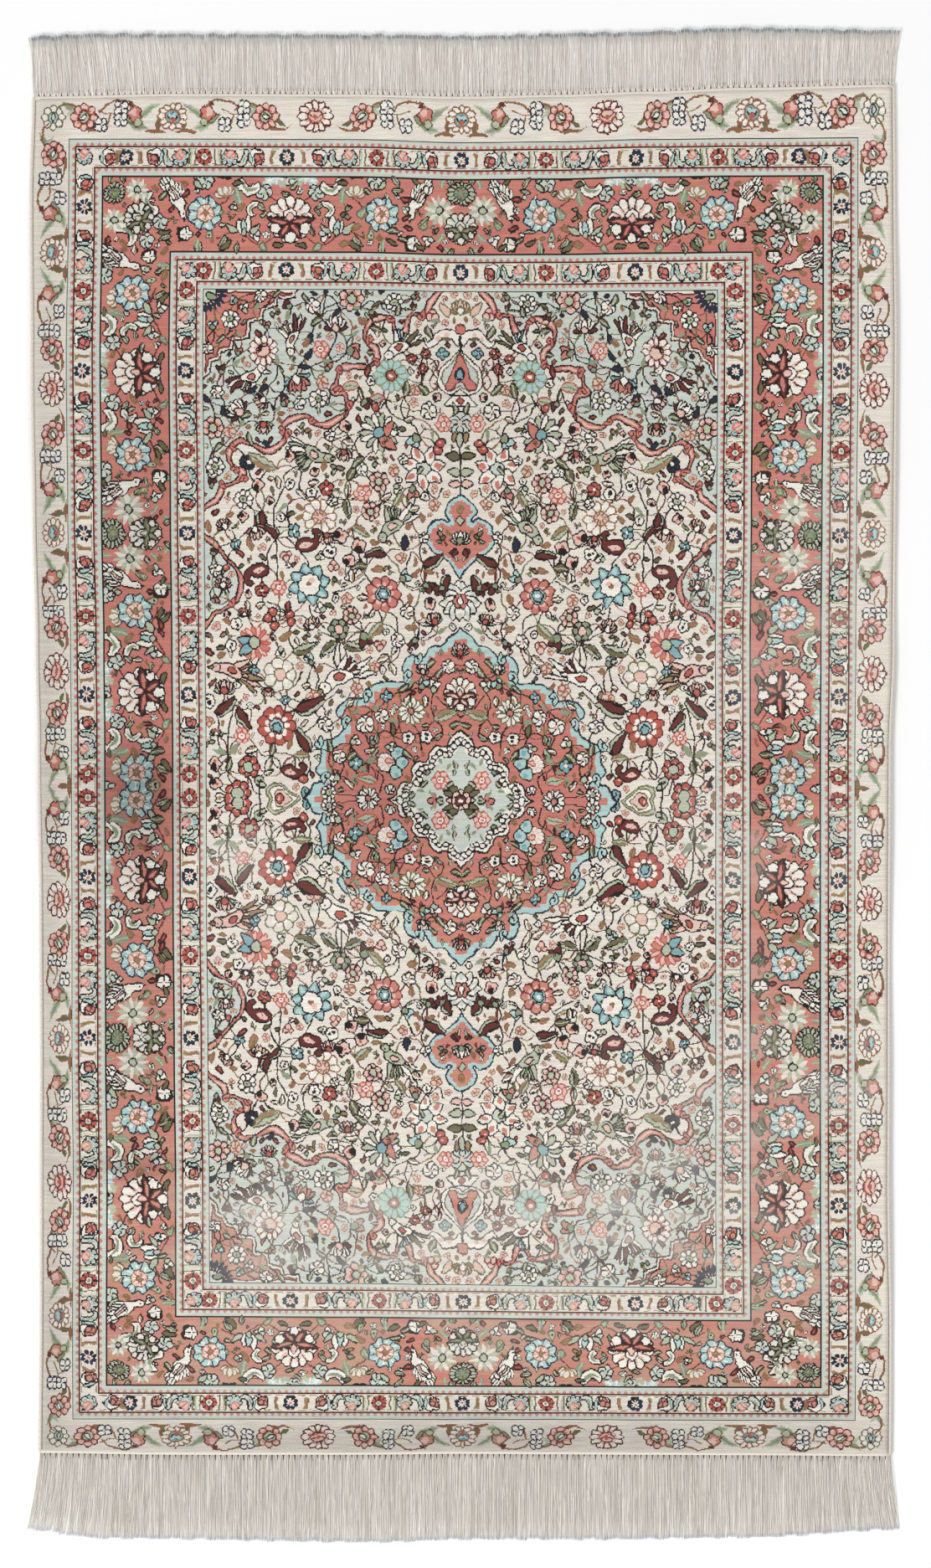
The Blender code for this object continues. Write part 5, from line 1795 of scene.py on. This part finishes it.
def wavering(drawing, reach, seed):
    """The drawing with each square taken from up to reach squares away, as no hand ties it exactly.

    The shifts are drawn for one square in WAVER_STEP each way, and those between follow in
    straight steps, so that near squares move alike.
    """
    draw = np.random.default_rng(seed)
    rows, columns = np.indices(drawing.shape)
    low_row, low_column = rows // WAVER_STEP, columns // WAVER_STEP
    down, right = rows % WAVER_STEP / WAVER_STEP, columns % WAVER_STEP / WAVER_STEP
    moved = []
    for places, limit in ((rows, drawing.shape[0]), (columns, drawing.shape[1])):
        coarse = draw.uniform(-reach, reach, [side // WAVER_STEP + 2 for side in drawing.shape])
        upper = coarse[low_row, low_column] * (1 - right) + coarse[low_row, low_column + 1] * right
        lower = coarse[low_row + 1, low_column] * (1 - right) + coarse[low_row + 1, low_column + 1] * right
        moved.append(np.clip(np.round(places + upper * (1 - down) + lower * down), 0, limit - 1).astype(int))
    return drawing[moved[0], moved[1]]


def four_quarters(quarter):
    """The quarter mirrored both ways."""
    return np.concatenate([mirrored(quarter), mirrored(quarter)[::-1]])


cartoon = four_quarters(border)
inner_columns = slice(FIELD_EDGE, COLUMNS - FIELD_EDGE)
lower_rows = slice(FIELD_MIDDLE_ROW, FIELD_MIDDLE_ROW + LOWER_FIELD_ROWS)
squeezed = np.round(np.linspace(FIELD_MIDDLE_ROW - 1, FIELD_EDGE, LOWER_FIELD_ROWS)).astype(int)
cartoon[FIELD_EDGE:FIELD_MIDDLE_ROW, inner_columns] = mirrored(field)[FIELD_EDGE:, inner_columns]
cartoon[lower_rows, inner_columns] = mirrored(field)[squeezed, inner_columns]
waver = wavering(cartoon, WAVER_REACH, seed=2)
straight = np.zeros(border.shape, bool)
for first, last in STRAIGHT:
    straight |= (inset >= first) & (inset <= last)
cartoon = np.where(four_quarters(straight), cartoon, waver)
print(f"The cartoon is {COLUMNS} by {ROWS} knots.")

# %% [markdown]
# ## The overcast cords along the sides
#
# The two outermost warps on each side are wound over with silk, turn beside turn, which guards
# the edge. The cord is a circle carried along the edge of the cloth. Each turn of the winding
# swells the circle a little, and the swelling runs round it as a screw thread does.

# %% Cords
TURN = 1.5 * MM
TURN_RELIEF = 0.16 * MM
CORD_SIDES = 8
RINGS_TO_A_TURN = 4
CORD_LENGTH = 1470 * MM


def carried(name, path, profile, material):
    """A profile carried along a path and closed at both ends.

    The path is (n, 3), and the profile is (n or 1, m, 2): how far sideways and how far up.
    """
    ahead = np.gradient(path, axis=0)
    ahead /= np.linalg.norm(ahead, axis=1, keepdims=True)
    side = np.cross(ahead, (0, 0, 1))
    side /= np.linalg.norm(side, axis=1, keepdims=True)
    up = np.cross(side, ahead)
    n, m = len(path), profile.shape[1]
    points = path[:, None] + side[:, None] * profile[..., :1] + up[:, None] * profile[..., 1:]
    i = np.arange(n - 1)[:, None] * m + np.arange(m)[None]
    j = np.arange(n - 1)[:, None] * m + (np.arange(m)[None] + 1) % m
    walls = np.stack([i, j, j + m, i + m], -1).reshape(-1, 4)
    ends = np.stack([np.arange(m)[::-1], np.arange(m) + (n - 1) * m])
    return new_piece(name, points.reshape(-1, 3), [walls, ends], material)


def build_cord(name, side, material):
    """A wound cord beside the cloth's edge.

    Its radius is CORD_RADIUS - TURN_RELIEF × (1 - |sin(phase)|), and the phase grows by π a turn and
    by half the angle round the cord.
    """
    rings = int(CORD_LENGTH / TURN * RINGS_TO_A_TURN)
    row = np.linspace(0, ROWS, rings)
    x, y = on_rug(0 if side < 0 else COLUMNS, row)
    x = x + side * (GAP + CORD_RADIUS)
    path = np.stack([x, y, lift(x, y) + CORD_RADIUS], -1)
    angle = np.arange(CORD_SIDES) / CORD_SIDES * 2 * np.pi
    phase = np.pi * np.arange(rings)[:, None] / RINGS_TO_A_TURN + angle[None] / 2 * side
    radius = CORD_RADIUS - TURN_RELIEF * (1 - np.abs(np.sin(phase)))
    profile = np.stack([radius * np.cos(angle), radius * np.sin(angle)], -1)
    return carried(name, path, profile, material)


# %% [markdown]
# ## The fringe
#
# The fringe is the warp itself: the foundation's threads run on past the last row of knots. A few
# rows of plain weaving hold the pile, then the threads are gathered into locks, each tied once,
# and hang free to their cut ends. A lock here is 14 yarns. Each yarn is a thin three-sided tube
# whose middle line is worked out for all yarns at once: it leaves its knot in a tight bunch,
# spreads to the lock's width, and then wanders a little on its way to the tip.

# %% Fringe: where its tips lie
TIPS = np.array([
    # x_mm, bottom tip, top tip
    (-470, -800.0, 805.0),
    (-380, -811.0, 808.5),
    (-90, -815.0, 807.5),
    (0, -812.0, 806.0),
    (150, -812.0, 809.5),
    (300, -810.0, 814.5),
    (470, -801.0, 812.0),
])
# each end's column in ALONG and in TIPS, and which way it runs
ENDS = {"bottom": (1, 1, -1), "top": (6, 2, 1)}
# how far the outermost locks lean out at the left and at the right, in mm, over the reach given
LEANS = {"bottom": (13.0, 9.0), "top": (4.0, 5.5)}
LEAN_REACH = 190 * MM
# how far the top locks that stand halfway along that reach lean to the left
LEFT_DRIFT = 7.0 * MM
LOCKS = 150
ROOT_INSET = 1.8 * MM
WEB_DEPTH, WEB_THICK, WEB_OUTSET = 4.0 * MM, 3.2 * MM, -0.8 * MM
# a thin dark strip below the gaps between the locks, a painted shadow: its depth, thickness and outset
SHADED_DEPTH, SHADED_THICK, SHADED_OUTSET = 6.0 * MM, 0.5 * MM, 4.6 * MM
WEB_SIDES = 12
WEB_SQUARENESS = 0.3


def lock_roots(end):
    """Each lock's root in metres."""
    column, _, outwards = ENDS[end]
    corners, _ = on_rug(np.array([0, COLUMNS]), 0 if end == "bottom" else ROWS)
    first, last = corners[0] - CORD_RADIUS, corners[1] + CORD_RADIUS
    x = np.linspace(first + ROOT_INSET, last - ROOT_INSET, LOCKS)
    return x, smooth(ALONG, column, x / MM) * MM + outwards * GAP


def build_web(end, part, outset, depth, thick, material):
    """A strip of plain weave, or the thin dark strip of painted shadow, outset from the roots: a rectangle
    with rounded corners carried along.
    """
    x, y = lock_roots(end)
    outwards = ENDS[end][2]
    path = np.stack([x, y + outwards * outset, lift(x, y) + thick / 2], -1)
    path[0, 0] -= ROOT_INSET
    path[-1, 0] += ROOT_INSET
    angle = np.arange(WEB_SIDES) / WEB_SIDES * 2 * np.pi
    circle = np.stack([np.cos(angle), np.sin(angle)], -1)
    profile = np.sign(circle) * np.abs(circle) ** WEB_SQUARENESS * (depth / 2, thick / 2)
    return carried("fringe_" + end + part, path, profile[None], material)


# %% Fringe: how its yarns lie
YARNS_TO_A_LOCK = 14
YARN_RADIUS = 0.36 * MM
YARN_RINGS = 7
YARN_SIDES = 3
# rings lie closer near the knot, and the last one is narrower
RING_CROWDING = 1.35
TIP_WIDTH = 0.6
LEAN_UNEVEN, CUT_UNEVEN = 0.5 * MM, 0.4 * MM
# a lock is this wide at its knot, and past this share of its length it is a little wider than its pitch
BUNCH_WIDTH, OPEN_FROM, OPEN_WIDTH = 3.5 * MM, 0.14, 1.12
SWAY_MM, TIP_SWAY = 0.75, 0.35 * MM
# the tips' own waves: 30 and 9 mm long, in radians to the metre
TIP_WAVE, TIP_RIPPLE = 210, 733
# how far a tip stands up: the upper fringe curls, the lower one lies flat
CURL_UP = {"top": 2.6 * MM, "bottom": 0.4 * MM}
KNOT_HEIGHT = 2.5
LOCK_CROWN = 0.45 * MM


def lean_of_locks(end, root_x, chance):
    """How far each lock's tip stands to the right of its root: squares of the distance to each corner."""
    left, right = LEANS[end]
    from_left = np.clip(1 - (root_x - root_x[0]) / LEAN_REACH, 0, 1) ** 2
    from_right = np.clip(1 - (root_x[-1] - root_x) / LEAN_REACH, 0, 1) ** 2
    lean = (right * from_right - left * from_left) * MM + chance.normal(0, LEAN_UNEVEN, LOCKS)
    if end == "top":
        lean -= LEFT_DRIFT * np.sin(np.pi * np.clip((root_x - root_x[0]) / LEAN_REACH, 0, 1))
    return lean


def tips_of_locks(end, root_x, seed):
    """Where each lock is cut: the table's line less two sine waves."""
    _, column, outwards = ENDS[end]
    waves = 0.8 + 0.7 * np.sin(root_x * TIP_WAVE + seed) + 0.5 * np.sin(root_x * TIP_RIPPLE)
    return smooth(TIPS, column, root_x / MM) * MM - outwards * waves * MM


def tubes(name, x, y, z, flipped, material):
    """Three-sided tubes along middle lines, whose x, y and z are (tubes, rings)."""
    count = len(x)
    angle = np.array([1 / 6, 5 / 6, 3 / 2]) * np.pi
    radius = YARN_RADIUS * np.where(np.arange(YARN_RINGS) == YARN_RINGS - 1, TIP_WIDTH, 1.0)[None, :, None]
    points = np.stack([
        x[..., None] + radius * np.cos(angle),
        np.broadcast_to(y[..., None], (*y.shape, YARN_SIDES)),
        z[..., None] + radius * np.sin(angle),
    ], -1).reshape(-1, 3)
    points[:, 2] = np.maximum(points[:, 2], CLEAR_OF_FLOOR)
    ring = np.arange(YARN_RINGS - 1)[:, None] * YARN_SIDES
    i, j = ring + np.arange(YARN_SIDES), ring + (np.arange(YARN_SIDES) + 1) % YARN_SIDES
    one = np.stack([i, j, j + YARN_SIDES, i + YARN_SIDES], -1).reshape(-1, 4)
    ends = np.array([(2, 1, 0), (0, 1, 2)]) + np.array([[0], [YARN_SIDES * (YARN_RINGS - 1)]])
    if flipped:
        one, ends = one[:, ::-1], ends[:, ::-1]
    each = np.arange(count)[:, None, None] * YARN_SIDES * YARN_RINGS
    faces = [(one[None] + each).reshape(-1, 4), (ends[None] + each).reshape(-1, 3)]
    return new_piece(name, points, faces, material)


# %% Fringe: all yarns of one end
def build_yarns(end, seed, material):
    """All yarns of one end, for s from 0 at the knot to 1 at the tip.

    x = root + place in the lock × width + lean × s^1.5 + sway, y runs straight from the knot to the
    cut, and z falls from the knot to the floor and rises by curl × s⁵ at the tip.
    """
    chance = np.random.default_rng(seed)
    outwards = ENDS[end][2]
    root_x, root_y = lock_roots(end)
    lock = np.repeat(np.arange(LOCKS), YARNS_TO_A_LOCK)
    within = np.tile((np.arange(YARNS_TO_A_LOCK) + 0.5) / YARNS_TO_A_LOCK - 0.5, LOCKS)[:, None]
    count = len(lock)
    s = np.linspace(0, 1, YARN_RINGS)[None] ** RING_CROWDING

    lean = lean_of_locks(end, root_x, chance)[lock][:, None]
    cut = tips_of_locks(end, root_x, seed)[lock] - outwards * np.abs(chance.normal(0, CUT_UNEVEN, count))
    start = root_y[lock] - outwards * chance.uniform(0.2, 1.0, count) * MM
    opened = np.clip(s / OPEN_FROM, 0, 1)
    opened = opened * opened * (3 - 2 * opened)
    width = BUNCH_WIDTH + (OPEN_WIDTH * (root_x[1] - root_x[0]) - BUNCH_WIDTH) * opened
    sway = chance.normal(0, 1, (count, 1)) * np.sin(np.pi * s * chance.uniform(0.8, 2.6, (count, 1)))
    x = root_x[lock][:, None] + within * width + lean * s**1.5
    x = x + sway * SWAY_MM * MM + chance.normal(0, TIP_SWAY, (count, 1)) * s
    y = start[:, None] + (cut - start)[:, None] * s

    high = chance.uniform(0.0, 1.0, (count, 1))
    at_knot = (lift(root_x, root_y) / MM + KNOT_HEIGHT)[lock][:, None] + high * 0.4
    past_knot = (0.9 + high * 1.2) * (1 - s) + (0.4 + high * 0.9) * s
    crown = LOCK_CROWN * np.sin(np.pi * np.clip(s * 4, 0, 1)) * (1 - np.abs(within) * 2)
    z = np.where(s == 0, at_knot, past_knot) * MM + crown + CURL_UP[end] * s**5

    piece = tubes("fringe_" + end + "_yarns", x, y, z, outwards > 0, material)
    keep_on_points(piece, "to_cut", np.repeat(np.abs(cut - start)[:, None] * (1 - s), YARN_SIDES, axis=1))
    return piece


# %% [markdown]
# ## The undyed yarns
#
# The winding is ivory silk, smooth and close. The warp is undyed cotton and twisted, so it is a
# little greyer and duller, and each yarn differs slightly from the next. That shows as fine
# stripes along the fringe, so the noise is stretched along the yarns: it repeats every 2.4 mm
# across and every 83 mm along. The cut ends are painted greyer, a painted shade, and the upper
# fringe's yarns are painted lighter than the lower ones, which is painted light.

# %% Materials of the cords and the fringe
# the cut tips are painted grey, a painted shade, up to the first of these lengths, and the grey ends at the
# second
TIP_SHADE_TO, TIP_SHADE_ENDS = 2.6 * MM, 5.0 * MM
STRIPES = (420, 12)


def yarn_material(name, light, dark, scale, roughness, relief, tips=None):
    """Undyed yarn: two tints mixed by stretched noise, a fine bump of it, and cut tips painted in a third
    tint as shade.
    """
    made, tree = new_material(name)
    here = node(tree, "ShaderNodeTexCoord").outputs["Object"]
    grain = streaks(tree, here, scale)
    tint = blend(tree, spread(tree, grain, 0.0, 1.0), linear(dark), linear(light))
    # painted shade: the yarn greys towards its cut tip
    if tips is not None:
        to_cut = node(tree, "ShaderNodeAttribute", attribute_name="to_cut").outputs["Fac"]
        reach = {0: to_cut, 1: TIP_SHADE_TO, 2: TIP_SHADE_ENDS, 3: 1.0, 4: 0.0}
        near = node(tree, "ShaderNodeMapRange", reach).outputs[0]
        tint = blend(tree, near, tint, linear(tips))
    bump = node(tree, "ShaderNodeBump", {"Height": grain, "Strength": 0.3, "Distance": relief}).outputs[0]
    shader = node(tree, "ShaderNodeBsdfPrincipled", {
        "Base Color": tint,
        "Roughness": roughness,
        "IOR": 1.54,
        "Specular IOR Level": 0.3,
        "Sheen Weight": 0.2,
        "Normal": bump,
    })
    node(tree, "ShaderNodeOutputMaterial", {"Surface": shader.outputs[0]})
    return made


winding = yarn_material("silk winding yarn", "#E4DCD2", "#C9BEB2", (700, 420), 0.55, 0.2 * MM)
# the upper fringe's tints are painted lighter than the lower one's, painted light, and both fringes get
# painted shade, a grey, at their cut ends
top_warp = yarn_material(
    "twisted cotton warp, painted lighter", "#FFFAF3", "#E6DDD3", STRIPES, 0.75, 0.2 * MM, "#A3A9AE",
)
bottom_warp = yarn_material(
    "twisted cotton warp", "#F4EFE7", "#D5CDC2", STRIPES, 0.75, 0.2 * MM, "#CDCED2",
)
foundation = yarn_material("plain woven foundation", "#E9E1D6", "#DAD0C4", (420, 900), 0.8, 0.3 * MM)
# the thin strips under the gaps between the locks get this painted shadow
shaded = yarn_material("painted shadow under the locks", "#A2968A", "#7E746B", (300, 900), 0.9, 0.2 * MM)

# %% [markdown]
# ## The whole rug
#
# Each piece rides with the rug's one body. The cloth is a soft sheet that lies on the floor, and
# everything that is sewn or woven to it goes with it. Only the yarns stand for the fringes of the
# model. The webs are extra pieces.

# %% Build the rug
cloth = build_cloth(cartoon, silk_pile())
cords = [build_cord("selvedge_left_winding", -1, winding), build_cord("selvedge_right_winding", 1, winding)]
webs = []
for end in ("top", "bottom"):
    webs.append(build_web(end, "_web", WEB_OUTSET, WEB_DEPTH, WEB_THICK, foundation))
# the thin dark strips under the locks are painted shadow
for end in ("top", "bottom"):
    webs.append(build_web(end, "_under", SHADED_OUTSET, SHADED_DEPTH, SHADED_THICK, shaded))
yarns = [build_yarns("top", 11, top_warp), build_yarns("bottom", 23, bottom_warp)]

# %% Bind the pieces to the model
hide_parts("cloth")
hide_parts("selvedge_left")
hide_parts("selvedge_right")
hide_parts("fringe_top")
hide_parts("fringe_bottom")
for record_slot, pieces in (("pile", [cloth]), ("selvedge", cords), ("fringe", webs + yarns)):
    for piece in pieces:
        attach(piece, "root")

# %% [markdown]
# ## The floor and the light
#
# The floor is plain, white and matt, and reaches far enough to fill a low view too. A large soft
# light from the lower left gives the thin shade along the rug's right and upper edges, and a
# bright sky keeps every other shadow faint.

# %% Floor and light
FLOOR_REACH = 40.0
SKY_STRENGTH = 0.6


def plain(name, colour, roughness):
    """A material of one colour."""
    made, tree = new_material(name)
    shader = node(tree, "ShaderNodeBsdfPrincipled", {"Base Color": linear(colour), "Roughness": roughness})
    node(tree, "ShaderNodeOutputMaterial", {"Surface": shader.outputs[0]})
    return made


corners = np.array([(-1, -1, 0), (1, -1, 0), (1, 1, 0), (-1, 1, 0)]) * FLOOR_REACH
floor = new_piece("floor", corners, np.array([(0, 1, 2, 3)]), plain("matt white paint", "#FAFAFA", 0.9))
floor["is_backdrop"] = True

sky = bpy.data.worlds.new("soft sky")
sky.use_nodes = True
glow = sky.node_tree.nodes["Background"].inputs
glow["Color"].default_value = (1, 1, 1, 1)
glow["Strength"].default_value = SKY_STRENGTH
bpy.context.scene.world = sky

# the plain view shows dyed silk in its own colours, where the filmic one would grey them
bpy.context.scene.view_settings.view_transform = "Standard"


def lamp(name, where, size, power):
    """A square soft light that points at the rug's middle: where and size in metres, power in watts."""
    light = bpy.data.lights.new(name, "AREA")
    light.size = size
    light.energy = power
    made = bpy.data.objects.new(name, light)
    made.location = where
    made.rotation_euler = (-made.location).to_track_quat("-Z", "Y").to_euler()
    bpy.context.scene.collection.objects.link(made)


lamp("key", (-6.0, -7.0, 7.5), 3.6, 884)
lamp("fill", (5.0, 6.0, 9.0), 6.0, 148)

# %% Print the sizes and finish
sizes = {"cad": cad_box, "visual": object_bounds()}
for name, box in sizes.items():
    print(name, [[round(value / MM, 1) for value in corner] for corner in box])
